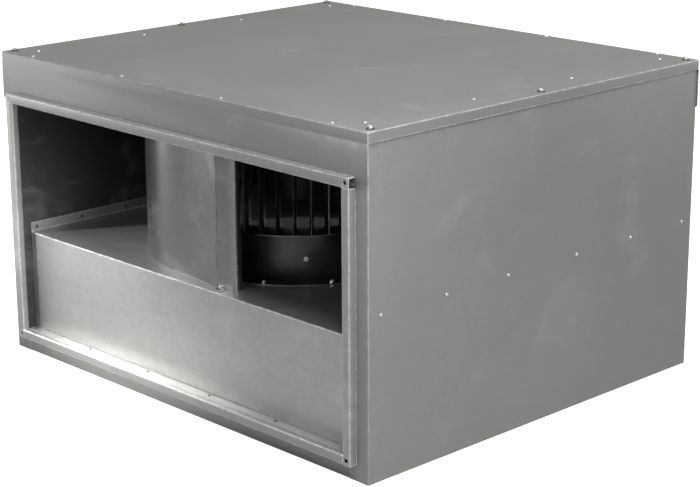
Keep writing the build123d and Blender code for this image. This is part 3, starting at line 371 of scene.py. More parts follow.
low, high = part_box("bottom_panel")
upstand_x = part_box("left_liner")[0].x - UPSTAND_GAP
tray = start_box("bottom_tray", (upstand_x, low.y, low.z), (-upstand_x, high.y, high.z))
take_off(tray, [(0, 0, 1), (1, 0, 0), (-1, 0, 0)])
for side in (-1, 1):
    pick(tray, "edges", lambda edge: len(edge.link_faces) == 1 and middle(edge).z < 1e-6
         and middle(edge).x * side > 0.1)
    reach = side * (high.x + upstand_x)
    bpy.ops.mesh.extrude_edges_move(TRANSFORM_OT_translate={"value": (reach, 0, 0)})
bpy.ops.mesh.select_all(action="SELECT")
bpy.ops.mesh.normals_make_consistent(inside=False)
thicken(tray, PANEL_BEND, PANEL_SHEET)
hand_over(tray, casing_steel, ["bottom_panel"])


# ---------------------------------------------------------------- side panels
# The outer skin of each side wall: galvanised sheet folded round both ends of the casing and
# over the top, where the cover is bolted down. Blind rivets fix it to the stiffener inside.

for side, name in ((-1, "left_side"), (1, "right_side")):
    low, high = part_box(name + "_panel")
    inner = side * (abs(upstand_x) + FIT_GAP)
    outer = side * max(abs(low.x), abs(high.x))
    skin = start_box(name + "_skin", (min(inner, outer), low.y, low.z), (max(inner, outer), high.y, high.z))
    take_off(skin, [(-side, 0, 0), (0, 0, -1)])
    thicken(skin, PANEL_BEND, PANEL_SHEET)
    hand_over(skin, casing_steel, [name + "_panel"])


# ---------------------------------------------------------------- liners, stiffeners and wool
# Inside the walls: smooth zinc liners that face the air, a folded channel that ties each skin to
# its liner, and slabs of yellow mineral wool between them, cut to fit.

# The liners' zinc is given a very dark grey as painted shade for the inside of the casing; the stiffeners,
# the closing plate and the cover's pan share it.
liner_steel = zinc_steel("liner_steel", (0.09, 0.09, 0.088), 0.40, 0.85, (240, 240, 5),
                         (0.20, 0.10, 0.10, 0.6), (0.0009, 0.6, 60.0), (0.80, 0.80, 0.79))


def dress(material, *nodes):
    """Gives CAD pieces a finish."""
    for node in nodes:
        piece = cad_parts[node]
        piece.data.materials.clear()
        piece.data.materials.append(material)


def wool_finish():
    """Mineral wool: matted fibres that lie in layers, darker where they are pressed."""
    made = bpy.data.materials.new("mineral_wool")
    made.use_nodes = True
    tree = made.node_tree
    shader = tree.nodes["Principled BSDF"]
    place = put(tree, "TexCoord", {}, {}).outputs["Object"]
    layers = put(tree, "Mapping", {}, {"Vector": place, "Scale": (60, 60, 420)}).outputs[0]
    fibre = put(tree, "TexNoise", {}, {"Vector": layers, "Scale": 1.0, "Detail": 6.0,
                                       "Distortion": 1.5}).outputs[0]
    clump = put(tree, "TexNoise", {}, {"Vector": place, "Scale": 18.0, "Detail": 3.0}).outputs[0]
    mix = maths(tree, "MULTIPLY_ADD", clump, 0.5, maths(tree, "MULTIPLY", fibre, 0.5))
    ramp = put(tree, "MapRange", {}, {"Value": mix, "From Min": 0.3, "From Max": 0.7}).outputs[0]
    tree.links.new(blend_colour(tree, "MIX", ramp, (0.28, 0.20, 0.07, 1), (0.62, 0.52, 0.25, 1)),
                   shader.inputs["Base Color"])
    shader.inputs["Roughness"].default_value = 0.95
    bump = put(tree, "Bump", {}, {"Strength": 0.9, "Distance": 0.002, "Height": fibre})
    tree.links.new(bump.outputs[0], shader.inputs["Normal"])
    return made


dress(liner_steel, "left_liner", "right_liner", "left_stiffener", "right_stiffener")
# The floor liner is the same zinc as the side liners, its grey raised as painted light where the lamps reach
# it inside the mouth.
floor_liner_painted_light = zinc_steel("floor_liner_painted_light", (0.52, 0.52, 0.51), 0.40, 0.8, (5, 240, 240),
                         (0.12, 0.08, 0.10, 0.5), (0.0009, 0.6, 60.0), (0.90, 0.90, 0.89))
dress(floor_liner_painted_light, "floor_liner")
dress(wool_finish(), "left_insulation", "right_insulation", "floor_insulation", "cover_insulation")


# ---------------------------------------------------------------- duct flanges
# Four rails round each duct opening, folded from 1.5 mm zinc strip: a leg that lies behind the
# liner, the 20 mm face with its corner bolt holes, and a return. The top rail runs full width.

RAIL_BEND = 2.2 * MM
RAIL_SHEET = 1.5 * MM
RAIL_HOLE_R = 4.5 * MM
RAIL_LEG = 36.0 * MM
LINER = 1.0 * MM
SEAT_GAP = 0.05 * MM

# The rails' folds take a wide, strong painted highlight along with their wear, mixed toward near white.
flange_steel = zinc_steel("flange_steel", (0.37, 0.368, 0.36), 0.42, 0.8, (5, 260, 260),
                          (0.12, 0.06, 0.14, 0.6), (0.0032, 1.0, 95.0), (0.95, 0.95, 0.94))


def cut_round(piece, place, way, radius, length, operation="DIFFERENCE", sides=32):
    """Bores a round hole through a piece, or adds a round post to it, about a middle point."""
    bpy.ops.object.select_all(action="DESELECT")
    turned = Vector(way).to_track_quat("Z", "Y").to_euler()
    bpy.ops.mesh.primitive_cylinder_add(vertices=sides, radius=radius, depth=length, location=place,
                                        rotation=turned)
    tool = bpy.context.object
    put_on(piece, "BOOLEAN", {"operation": operation, "solver": "EXACT", "object": tool})
    bpy.data.objects.remove(tool)


def folded_rail(name, ends, leg_ends, wide, deep, holes):
    """A rail along X with its face on Y = 0 and its leg on Z = 0. holes are (x, z) on the face."""
    bpy.ops.object.select_all(action="DESELECT")
    bpy.ops.mesh.primitive_plane_add(size=1, location=((ends[0] + ends[1]) / 2, 0, wide / 2))
    rail = bpy.context.object
    rail.name = name
    rail.scale = (ends[1] - ends[0], wide, 1)
    rail.rotation_euler = (math.radians(90), 0, 0)
    bpy.ops.object.transform_apply(location=True, rotation=True, scale=True)
    bpy.ops.object.mode_set(mode="EDIT")
    for x in leg_ends:
        if ends[0] < x < ends[1]:
            bpy.ops.mesh.select_all(action="SELECT")
            bpy.ops.mesh.bisect(plane_co=(x, 0, 0), plane_no=(1, 0, 0))
    pick(rail, "edges", lambda edge: max(v.co.z for v in edge.verts) < 1e-6
         and leg_ends[0] - 1e-6 < middle(edge).x < leg_ends[1] + 1e-6)
    bpy.ops.mesh.extrude_edges_move(TRANSFORM_OT_translate={"value": (0, RAIL_LEG, 0)})
    pick(rail, "edges", lambda edge: min(v.co.z for v in edge.verts) > wide - 1e-6)
    bpy.ops.mesh.extrude_edges_move(TRANSFORM_OT_translate={"value": (0, deep, 0)})
    bpy.ops.mesh.select_all(action="SELECT")
    bpy.ops.mesh.normals_make_consistent(inside=False)
    face = next(f for f in bmesh.from_edit_mesh(rail.data).faces if abs(f.normal.y) > 0.9)
    if face.normal.y > 0:
        bpy.ops.mesh.flip_normals()
    thicken(rail, RAIL_BEND, RAIL_SHEET)
    for x, z in holes:
        cut_round(rail, (x, 0, z), (0, 1, 0), RAIL_HOLE_R, 4 * RAIL_SHEET)
    return rail


def set_down(piece, location, turn):
    """Puts a piece in its place, turned by angles in degrees about X, Y and Z."""
    piece.location = location
    piece.rotation_euler = [math.radians(angle) for angle in turn]


for end, sign in (("outlet", 1), ("inlet", -1)):
    low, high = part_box(end + "_top_rail")
    face_y = min(low.y, high.y, key=lambda y: -abs(y))
    half = high.x
    duct_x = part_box("right_liner")[0].x
    mid = (high.z - low.z) / 2
    side_low, side_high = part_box(end + "_right_rail")
    cover_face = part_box("top_cover")[1].y + SEAT_GAP
    panel_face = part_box("left_side_panel")[1].y + SEAT_GAP
    corner = half - mid
    facing = 0 if sign > 0 else 180
    rail = folded_rail(end + "_rail_top", (-half, half), (-duct_x, duct_x), high.z - low.z,
                       abs(face_y) - cover_face, [(-corner, mid), (corner, mid)])
    set_down(rail, (0, face_y, low.z), (0, 0, facing))
    hand_over(rail, flange_steel, [end + "_top_rail"])
    leg_x = duct_x + LINER
    bottom_low, bottom_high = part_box(end + "_bottom_rail")
    rail = folded_rail(end + "_rail_bottom", (-leg_x, leg_x), (-duct_x, duct_x),
                       bottom_high.z - bottom_low.z, abs(face_y) - panel_face, [])
    set_down(rail, (0, face_y, bottom_high.z), (0, 180, facing))
    hand_over(rail, flange_steel, [end + "_bottom_rail"])
    reach = half - leg_x
    hole_x = side_low.z + mid
    leg_start = bottom_high.z
    for side, name in ((-1, "left"), (1, "right")):
        spin = side * sign
        ends = (side_low.z, side_high.z) if spin < 0 else (-side_high.z, -side_low.z)
        legs = (leg_start, side_high.z) if spin < 0 else (-side_high.z, -leg_start)
        hole = (-spin * hole_x, corner - leg_x)
        rail = folded_rail(f"{end}_rail_{name}", ends, legs, reach, abs(face_y) - panel_face, [hole])
        set_down(rail, (side * leg_x, face_y, 0), (0, spin * 90, facing))
        hand_over(rail, flange_steel, [f"{end}_{name}_rail"])


# ---------------------------------------------------------------- blind rivets
# Aluminium blind rivets with a low dome and the pit that the snapped pin leaves: on the side
# walls, round both duct openings, along the shelf, on the roof and on the impeller's hub.

RIVET_R = 1.6 * MM
RIVET_HEAD_R = 3.4 * MM
RIVET_HEAD = 1.5 * MM


def small_metal(name, colour, rough, metal, cloud):
    """Bright small hardware: tumbled, with fine dents."""
    made = bpy.data.materials.new(name)
    made.use_nodes = True
    tree = made.node_tree
    shader = tree.nodes["Principled BSDF"]
    marks = use_group(tree, "handling_marks", {"Smudge": cloud, "Scratch": 0.8})
    worn_and_highlit = use_group(tree, "edge_wear_and_highlight", {"Width": 0.0004, "Amount": 0.7, "Breaks": 300.0})
    place = put(tree, "TexCoord", {}, {}).outputs["Object"]
    dents = put(tree, "TexNoise", {}, {"Vector": place, "Scale": 900.0, "Detail": 2.0}).outputs[0]
    batch = put(tree, "TexNoise", {}, {"Vector": place, "Scale": 30.0, "Detail": 0.0}).outputs[0]
    shade = maths(tree, "MULTIPLY_ADD", batch, 0.3, 0.82)
    grey = put(tree, "CombineColor", {}, {0: shade, 1: shade, 2: shade}).outputs[0]
    varied = blend_colour(tree, "MULTIPLY", 1.0, (*colour, 1), grey)
    # Edges are lightened partly as wear and partly as a painted highlight.
    share = maths(tree, "ADD", worn_and_highlit["Mask"], maths(tree, "MULTIPLY", marks["Scratches"], 0.4))
    lighter = tuple(min(1.0, c * 1.3) for c in colour)
    tree.links.new(blend_colour(tree, "MIX", share, varied, (*lighter, 1)), shader.inputs["Base Color"])
    tree.links.new(maths(tree, "MULTIPLY_ADD", dents, 0.2, rough - 0.1), shader.inputs["Roughness"])
    shader.inputs["Metallic"].default_value = metal
    bump = put(tree, "Bump", {}, {"Strength": 0.25, "Distance": 0.0002, "Height": dents})
    tree.links.new(bump.outputs[0], shader.inputs["Normal"])
    return made


def start_rod(name, sides, radius, low, high):
    """An upright prism or rod between two heights, being edited."""
    bpy.ops.object.select_all(action="DESELECT")
    bpy.ops.mesh.primitive_cylinder_add(vertices=sides, radius=radius, depth=high - low,
                                        location=(0, 0, (low + high) / 2))
    rod = bpy.context.object
    rod.name = name
    bpy.ops.object.transform_apply(location=True, rotation=True, scale=True)
    bpy.ops.object.mode_set(mode="EDIT")
    return rod


def end_face(piece, height):
    """Selects the flat end of a rod at a height."""
    pick(piece, "faces", lambda face: abs(face.normal.z) > 0.9 and abs(middle(face).z - height) < 1e-6)


def rim(piece, height, radius):
    """Selects the ring of edges at a height and a radius."""
    pick(piece, "edges", lambda edge: all(abs(v.co.z - height) < 1e-6 and v.co.xy.length > 0.98 * radius
                                          for v in edge.verts))


def step_face(inset, rise):
    """Insets the selected end face and raises or sinks what is inside."""
    bpy.ops.mesh.inset(thickness=inset)
    bpy.ops.mesh.extrude_region_move(TRANSFORM_OT_translate={"value": (0, 0, rise)})


def model_rivet(grip):
    """One rivet that stands on Z = 0, with its shank down through the sheets."""
    rivet = start_rod("rivet", 20, RIVET_HEAD_R, 0, RIVET_HEAD)
    end_face(rivet, 0)
    step_face(RIVET_HEAD_R - RIVET_R, -grip)
    rim(rivet, RIVET_HEAD, RIVET_HEAD_R)
    bpy.ops.mesh.bevel(offset=0.78 * RIVET_HEAD, segments=4, profile=0.55)
    end_face(rivet, RIVET_HEAD)
    step_face(0.9 * MM, -0.25 * MM)
    end_face(rivet, RIVET_HEAD - 0.25 * MM)
    step_face(0.25 * MM, -0.9 * MM)
    bpy.ops.object.mode_set(mode="OBJECT")
    return rivet


def stations(node, head, out=None):
    """The seat under each fastener's head in a CAD group, and the way that the head faces."""
    mesh = bmesh.new()
    mesh.from_mesh(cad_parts[node].data)
    bmesh.ops.remove_doubles(mesh, verts=mesh.verts, dist=1e-6)
    mesh.verts.ensure_lookup_table()
    found = []
    seen = set()
    for start in mesh.verts:
        if start.index in seen:
            continue
        seen.add(start.index)
        queue = [start]
        points = []
        while queue:
            vert = queue.pop()
            points.append(vert.co.copy())
            for edge in vert.link_edges:
                other = edge.other_vert(vert)
                if other.index not in seen:
                    seen.add(other.index)
                    queue.append(other)
        lowest = Vector([min(p[i] for p in points) for i in range(3)])
        highest = Vector([max(p[i] for p in points) for i in range(3)])
        centre = (lowest + highest) / 2
        way = Vector(out) if out else None
        if way is None:
            size = highest - lowest
            along = min(range(3), key=lambda i: size[i])
            wide = max((p - centre).length for p in points)
            lean = sum((p - centre)[along] for p in points if (p - centre).length > 0.9 * wide)
            way = Vector([0, 0, 0])
            way[along] = math.copysign(1, lean)
        half = abs((highest - lowest).dot(way)) / 2
        found.append((centre + way * (half - head), way))
    mesh.free()
    return found


def copies_at(model, name, places, turns=0.0):
    """Copies of a small model set at (seat, way) places, each turned a little more, as one piece."""
    made = []
    for n, (seat, way) in enumerate(places):
        bpy.ops.object.select_all(action="DESELECT")
        model.select_set(True)
        bpy.context.view_layer.objects.active = model
        bpy.ops.object.duplicate()
        one = bpy.context.object
        turned = way.to_track_quat("Z", "Y").to_matrix().to_4x4() @ Matrix.Rotation(n * turns, 4, "Z")
        one.matrix_world = Matrix.Translation(seat) @ turned
        made.append(one)
    bpy.data.objects.remove(model)
    for one in made:
        one.select_set(True)
    bpy.context.view_layer.objects.active = made[0]
    bpy.ops.object.join()
    made[0].name = name
    return made[0]


rivet_metal = small_metal("rivet_metal", (0.74, 0.74, 0.73), 0.36, 0.9, 0.4)
# The rivets round the duct openings and along the shelf take a darkened copy of the rivet metal as painted
# shade inside the casing.
rivet_metal_painted_shade = small_metal("rivet_metal_painted_shade", (0.13, 0.13, 0.128), 0.5, 0.9, 0.4)
for node, grip in (("side_rivets", 2.4), ("outlet_rivets", 2.5), ("inlet_rivets", 2.5), ("shelf_rivets", 2.5),
                   ("cover_rivets", 2.2), ("hub_rivets", 6.0)):
    group = copies_at(model_rivet(grip * MM), "blind_" + node, stations(node, RIVET_HEAD), 0.7)
    finish = rivet_metal_painted_shade if node in ("outlet_rivets", "inlet_rivets", "shelf_rivets") else rivet_metal
    hand_over(group, finish, [node], "impeller" if node == "hub_rivets" else "casing")


# ---------------------------------------------------------------- shelf
# One zinc sheet that parts the inlet chamber below from the fan above. Its front edge is
# folded down as the baffle, with a foot on the floor, and its sides are folded up the liners.
# Its grey is set well above the casing's, partly as a brighter zinc and partly as painted light
# on the baffle, and its front fold carries a wide painted highlight.

SHELF_SHEET = 1.5 * MM
SHELF_BEND = 2.6 * MM
SHELF_LIP = 20.0 * MM
SHELF_FOOT = 20.0 * MM
NOZZLE_MOUTH_R = 246.0 * MM

shelf_steel = zinc_steel("shelf_steel", (0.46, 0.46, 0.45), 0.36, 0.88, (5, 260, 260),
                         (0.10, 0.07, 0.10, 0.5), (0.0036, 1.0, 110.0), (0.98, 0.98, 0.97))
low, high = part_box("shelf_plate")
nozzle_low, nozzle_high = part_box("inlet_nozzle")
shelf_top = nozzle_low.z
shelf = start_box("shelf_sheet", (low.x + SHELF_SHEET, low.y, low.z),
                  (high.x - SHELF_SHEET, high.y, shelf_top))
take_off(shelf, [(0, 0, -1), (0, 1, 0), (1, 0, 0), (-1, 0, 0)])
pick(shelf, "edges", lambda edge: max(v.co.z for v in edge.verts) < low.z + 1e-6)
bpy.ops.mesh.extrude_edges_move(TRANSFORM_OT_translate={"value": (0, SHELF_FOOT, 0)})
for side in (-1, 1):
    pick(shelf, "edges", lambda edge: min(v.co.z for v in edge.verts) > shelf_top - 1e-6
         and middle(edge).x * side > 0.1)
    bpy.ops.mesh.extrude_edges_move(TRANSFORM_OT_translate={"value": (0, 0, SHELF_LIP)})
bpy.ops.mesh.select_all(action="SELECT")
bpy.ops.mesh.normals_make_consistent(inside=False)
top = max(bmesh.from_edit_mesh(shelf.data).faces, key=lambda face: face.calc_area() * abs(face.normal.z))
if top.normal.z < 0:
    bpy.ops.mesh.flip_normals()
thicken(shelf, SHELF_BEND, SHELF_SHEET)
eye = (nozzle_low + nozzle_high) / 2
cut_round(shelf, (eye.x, eye.y, shelf_top), (0, 0, 1), NOZZLE_MOUTH_R, 4 * SHELF_SHEET, sides=128)
hand_over(shelf, shelf_steel, ["shelf_plate"])


# ---------------------------------------------------------------- closing plate
# A zinc sheet that stands on the back of the shelf and shuts the inlet above it. Its foot and its
# two side lips are folded from the same sheet, and rivets through the lips hold it to the liners.

low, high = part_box("closing_plate")
closing = start_box("closing_sheet", low, high)
take_off(closing, [(0, 1, 0), (0, 0, 1)])
bpy.ops.mesh.select_all(action="SELECT")
bpy.ops.mesh.bisect(plane_co=(0, 0, shelf_top + SHELF_LIP), plane_no=(0, 0, 1))
pick(closing, "faces", lambda face: abs(face.normal.x) > 0.9 and middle(face).z < shelf_top + SHELF_LIP)
bpy.ops.mesh.delete(type="FACE")
thicken(closing, SHELF_BEND, SHELF_SHEET)
hand_over(closing, liner_steel, ["closing_plate"])


# ---------------------------------------------------------------- scroll
# The scroll is a strip of zinc sheet rolled to the spiral and stood on the shelf, with a folded
# tongue at its mouth and a flat lid held by small angle brackets and hexagon screws.

scroll_steel = zinc_steel("scroll_steel", (0.29, 0.29, 0.285), 0.26, 0.96, (230, 230, 5),
                          (0.12, 0.06, 0.16, 0.5), (0.0012, 0.8, 70.0), (0.92, 0.92, 0.91))
dress(scroll_steel, "scroll_wall", "tongue_plate", "scroll_top_plate")


# ---------------------------------------------------------------- inlet nozzle
# A flared ring spun from zinc sheet, screwed down over the hole in the shelf, its grey darkened
# as painted shade under the impeller. It narrows in a smooth bell up to its throat, which reaches
# a little way into the turning impeller.

nozzle_steel_painted_shade = zinc_steel("nozzle_steel_painted_shade", (0.13, 0.13, 0.127), 0.38, 0.92, (200, 200, 8),
                          (0.14, 0.06, 0.12, 0.5), (0.0010, 0.8, 70.0), (0.80, 0.80, 0.79))

NOZZLE_SHEET = 1.5 * MM
BELL_STEPS = 16
BELL_TURNS = 144

points = [vert.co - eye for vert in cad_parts["inlet_nozzle"].data.vertices]
throat_r = max(point.xy.length for point in points if point.z > (nozzle_high - eye).z - 1e-6)
base = nozzle_low.z + NOZZLE_SHEET
# The bell leaves the flange level and meets the throat upright, each as long a pull as its chord.
chord = Vector((throat_r - NOZZLE_MOUTH_R, nozzle_high.z - base)).length
bpy.ops.object.select_all(action="DESELECT")
bpy.ops.mesh.primitive_plane_add(size=0.01)
bell = bpy.context.object
bell.name = "nozzle_bell"
bpy.ops.object.mode_set(mode="EDIT")
bpy.ops.mesh.select_mode(type="VERT")
bpy.ops.mesh.select_all(action="SELECT")
bpy.ops.mesh.merge(type="CENTER")
bpy.ops.transform.translate(value=(nozzle_high.x - eye.x, 0, base))
reached = Vector((nozzle_high.x - eye.x, base))
for step in range(BELL_STEPS + 1):
    t = step / BELL_STEPS
    radius = (NOZZLE_MOUTH_R * (2 * t ** 3 - 3 * t ** 2 + 1) + throat_r * (3 * t ** 2 - 2 * t ** 3)
              - chord * (t ** 3 - 2 * t ** 2 + t))
    height = (base * (2 * t ** 3 - 3 * t ** 2 + 1) + nozzle_high.z * (3 * t ** 2 - 2 * t ** 3)
              + chord * (t ** 3 - t ** 2))
    move = Vector((radius, height)) - reached
    bpy.ops.mesh.extrude_vertices_move(TRANSFORM_OT_translate={"value": (move.x, 0, move.y)})
    reached = Vector((radius, height))
bpy.ops.mesh.select_all(action="SELECT")
bpy.ops.mesh.spin(steps=BELL_TURNS, angle=math.radians(360), center=(0, 0, 0), axis=(0, 0, 1))
bpy.ops.mesh.select_all(action="SELECT")
bpy.ops.mesh.remove_doubles(threshold=1e-5)
bpy.ops.mesh.normals_make_consistent(inside=False)
lowest = min(bmesh.from_edit_mesh(bell.data).faces, key=lambda face: middle(face).z)
if lowest.normal.z < 0:
    bpy.ops.mesh.flip_normals()
bpy.ops.object.mode_set(mode="OBJECT")
put_on(bell, "SOLIDIFY", {"thickness": NOZZLE_SHEET, "offset": -1})
bell.location = (eye.x, eye.y, 0)
hand_over(bell, nozzle_steel_painted_shade, ["inlet_nozzle"])


# ---------------------------------------------------------------- hexagon screws
# Zinc-plated hexagon screws with a chamfered, dished head: in the nozzle's flange, the scroll's
# lid, the motor, the terminal box's lid and, over rubber washers, the cover.

SCREW_R = 2.5 * MM
SCREW_FLATS = 8.0 * MM
SCREW_HEAD = 3.5 * MM

zinc_screw = small_metal("zinc_screw", (0.70, 0.70, 0.68), 0.34, 0.95, 0.5)


def model_screw(grip):
    """One hexagon screw that stands on Z = 0, with its shank down through the sheets."""
    corner_r = SCREW_FLATS / 2 / math.cos(math.radians(30))
    screw = start_rod("screw", 6, corner_r, 0, SCREW_HEAD)
    end_face(screw, 0)
    step_face(0.5 * MM, 0)
    step_face(SCREW_FLATS / 2 - SCREW_R - 0.3 * MM, -grip)
    pick(screw, "verts", lambda vert: abs(vert.co.z - SCREW_HEAD) < 1e-6)
    bpy.ops.mesh.bevel(offset=0.9 * MM, segments=2, affect="EDGES")
    end_face(screw, SCREW_HEAD)
    step_face(0.5 * MM, -0.35 * MM)
    bpy.ops.object.mode_set(mode="OBJECT")
    return screw


for node, name, grip, out in (("nozzle_screws", "nozzle_ring_screws", 3.0, (0, 0, 1)),
                              ("scroll_screws", "scroll_lid_screws", 4.5, (0, 0, 1)),
                              ("motor_bolts", "motor_screws", 12.5, (0, 0, 1)),
                              ("terminal_lid_screws", "box_lid_screws", 21.6, (-1, 0, 0)),
                              ("cover_bolts", "roof_bolts", 17.2, (0, 0, 1))):
    group = copies_at(model_screw(grip * MM), name, stations(node, SCREW_HEAD, out), 0.9)
    hand_over(group, zinc_screw, [node])
dress(zinc_screw, "scroll_brackets", "cover_rivet_nuts")
dress(small_metal("nipple_metal", (0.9, 0.9, 0.89), 0.2, 0.7, 0.1), "measuring_nipple")


# ---------------------------------------------------------------- impeller
# A drum of forward-curved blades, pressed from zinc sheet and held between a ring below and
# a back plate above, which is riveted to the motor's rotor. Its grey is darkened as painted shade
# inside the scroll.

impeller_steel = zinc_steel("impeller_steel", (0.12, 0.12, 0.117), 0.34, 0.92, (230, 230, 5),
                            (0.12, 0.05, 0.10, 0.5), (0.0008, 0.8, 80.0), (0.9, 0.9, 0.89))
dress(impeller_steel, "impeller_ring", "impeller_blades", "impeller_back_plate")


# ---------------------------------------------------------------- cover
# A hood of galvanised sheet with a deep band at each end and a short lip along each side. A
# shallow pan under it holds its wool, and a foam gasket seals it on the walls and flange legs.

LIP_DEPTH = 20.0 * MM
COVER_ROUND = 4.0 * MM
WASHER_R = 8.0 * MM
WASHER = 2.0 * MM

dress(liner_steel, "cover_pan")
low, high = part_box("top_cover")
hood = start_box("cover_hood", low, high)
take_off(hood, [(0, 0, -1)])
lip_z = high.z - LIP_DEPTH
bpy.ops.mesh.select_all(action="SELECT")
bpy.ops.mesh.bisect(plane_co=(0, 0, lip_z), plane_no=(0, 0, 1))
pick(hood, "faces", lambda face: abs(face.normal.x) > 0.9 and middle(face).z < lip_z)
bpy.ops.mesh.delete(type="FACE")
pick(hood, "verts", lambda vert: vert.co.z < low.z + 1e-6)
bpy.ops.mesh.bevel(offset=COVER_ROUND, segments=4, affect="VERTICES")
thicken(hood, PANEL_BEND, PANEL_SHEET)
hand_over(hood, casing_steel, ["top_cover"])


def soft_finish(name, colour, scale, depth):
    """Rubber, foam or plastic with its own fine grain and a little dust."""
    made = bpy.data.materials.new(name)
    made.use_nodes = True
    tree = made.node_tree
    shader = tree.nodes["Principled BSDF"]
    marks = use_group(tree, "handling_marks", {"Smudge": 0.6, "Scratch": 0.4})
    worn_and_highlit = use_group(tree, "edge_wear_and_highlight", {"Width": 0.0008, "Amount": 0.35, "Breaks": 120.0})
    place = put(tree, "TexCoord", {}, {}).outputs["Object"]
    grain = put(tree, "TexNoise", {}, {"Vector": place, "Scale": scale, "Detail": 3.0}).outputs[0]
    cloud = put(tree, "TexNoise", {}, {"Vector": place, "Scale": 12.0, "Detail": 2.0}).outputs[0]
    shade = maths(tree, "MULTIPLY_ADD", cloud, 0.24, maths(tree, "MULTIPLY_ADD", grain, 0.16, 0.8))
    grey = put(tree, "CombineColor", {}, {0: shade, 1: shade, 2: shade}).outputs[0]
    varied = blend_colour(tree, "MULTIPLY", 1.0, (*colour, 1), grey)
    dusty = tuple(c + 0.18 * (1 - c) for c in colour)
    # The rubbed edges are lightened toward the dusty colour, partly as wear and partly as a painted
    # highlight.
    share = maths(tree, "MULTIPLY_ADD", marks["Smudges"], 0.35, worn_and_highlit["Mask"])
    tree.links.new(blend_colour(tree, "MIX", share, varied, (*dusty, 1)), shader.inputs["Base Color"])
    tree.links.new(maths(tree, "MULTIPLY_ADD", cloud, 0.25, 0.4), shader.inputs["Roughness"])
    bump = put(tree, "Bump", {}, {"Strength": 0.5, "Distance": depth, "Height": grain})
    tree.links.new(bump.outputs[0], shader.inputs["Normal"])
    return made


dress(soft_finish("gasket_foam", (0.05, 0.05, 0.05), 700.0, 0.0006), "cover_gasket")


def model_washer():
    """One sealing washer that lies on Z = 0, rounded off on top."""
    washer = start_rod("washer", 40, WASHER_R, 0, WASHER)
    rim(washer, WASHER, WASHER_R)
    bpy.ops.mesh.bevel(offset=0.9 * MM, segments=3)
    bpy.ops.object.mode_set(mode="OBJECT")
    cut_round(washer, (0, 0, WASHER / 2), (0, 0, 1), SCREW_R + FIT_GAP, 3 * WASHER)
    return washer


washer_rubber = soft_finish("washer_rubber", (0.025, 0.025, 0.025), 900.0, 0.0002)
washers = copies_at(model_washer(), "roof_washers", stations("cover_washers", WASHER, (0, 0, 1)), 0.5)
hand_over(washers, washer_rubber, ["cover_washers"])


# ---------------------------------------------------------------- motor
# An external-rotor motor: the pressed rotor shell, painted black, turns round a stator of stacked
# laminations with copper windings, on a ground shaft held by a cast alloy flange.

dress(soft_finish("rotor_paint", (0.03, 0.03, 0.033), 500.0, 0.0003), "rotor_shell")
dress(small_metal("lamination", (0.25, 0.25, 0.26), 0.5, 0.9, 0.2), "rotor_core", "stator_core")
dress(small_metal("shaft_steel", (0.62, 0.62, 0.62), 0.2, 1.0, 0.2), "motor_shaft", "motor_bearings")
dress(small_metal("cast_alloy", (0.55, 0.55, 0.56), 0.55, 0.9, 0.4), "stator_flange")
dress(small_metal("copper_wire", (0.65, 0.28, 0.12), 0.35, 0.9, 0.2), "stator_windings")


# ---------------------------------------------------------------- terminal box
# A moulded grey plastic box on the left wall: an open tray with a post for a screw in each corner,
# a lid with a shallow panel, a row of terminals, and two screwed cable glands under it.

BOX_WALL = 3.0 * MM
BOX_CORNER = 4.0 * MM
POST_R = 5.0 * MM
LID_PANEL_INSET = 16.0 * MM
LID_PANEL_DEPTH = 0.8 * MM
LID_ROUND = 1.4 * MM
GLAND_RIBS = 12
GLAND_NUT_R = 10.0 * MM
GLAND_NUT = 12.0 * MM
GLAND_NUT_ROUND = 2.0 * MM
GLAND_COLLAR = 6.0 * MM
GLAND_THREAD_R = 9.0 * MM
GLAND_THREAD = 7.0 * MM
GLAND_BORE_R = 6.5 * MM


def along_x(edge):
    """True for an edge that runs along X."""
    start, end = (v.co for v in edge.verts)
    return abs(start.x - end.x) > 0.5 * (start - end).length


box_plastic = soft_finish("box_plastic", (0.42, 0.43, 0.43), 1100.0, 0.0003)
low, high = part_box("terminal_box")
tray = start_box("box_tray", low, high)
pick(tray, "edges", along_x)
bpy.ops.mesh.bevel(offset=BOX_CORNER, segments=4)
pick(tray, "faces", lambda face: face.normal.x < -0.9)
step_face(BOX_WALL, 0)
pick(tray, "faces", lambda face: face.normal.x < -0.9 and len(face.verts) > 4)
bpy.ops.mesh.extrude_region_move(TRANSFORM_OT_translate={"value": (high.x - low.x - BOX_WALL, 0, 0)})
bpy.ops.object.mode_set(mode="OBJECT")
lid_low, lid_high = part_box("terminal_box_lid")
screws = [seat for seat, way in stations("terminal_lid_screws", SCREW_HEAD, (-1, 0, 0))]
for seat in screws:
    middle_x = (low.x + high.x - BOX_WALL) / 2
    cut_round(tray, (middle_x, seat.y, seat.z), (1, 0, 0), POST_R, high.x - low.x - BOX_WALL, "UNION")
for seat in screws:
    cut_round(tray, (low.x, seat.y, seat.z), (1, 0, 0), SCREW_R + FIT_GAP, 1.6 * (high.x - low.x))
box_y = (low.y + high.y) / 2
box_z = (low.z + high.z) / 2
sleeve_low, sleeve_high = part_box("wall_grommet")
cut_round(tray, (high.x, box_y, box_z), (1, 0, 0), (sleeve_high.z - sleeve_low.z) / 2, 4 * BOX_WALL)
gland_low, gland_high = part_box("cable_glands")
gland_r = (gland_high.x - gland_low.x) / 2
gland_x = (gland_high.x + gland_low.x) / 2
gland_rows = (gland_low.y + gland_r, gland_high.y - gland_r)
for y in gland_rows:
    cut_round(tray, (gland_x, y, low.z), (0, 0, 1), GLAND_THREAD_R + FIT_GAP, 4 * BOX_WALL)
hand_over(tray, box_plastic, ["terminal_box"])

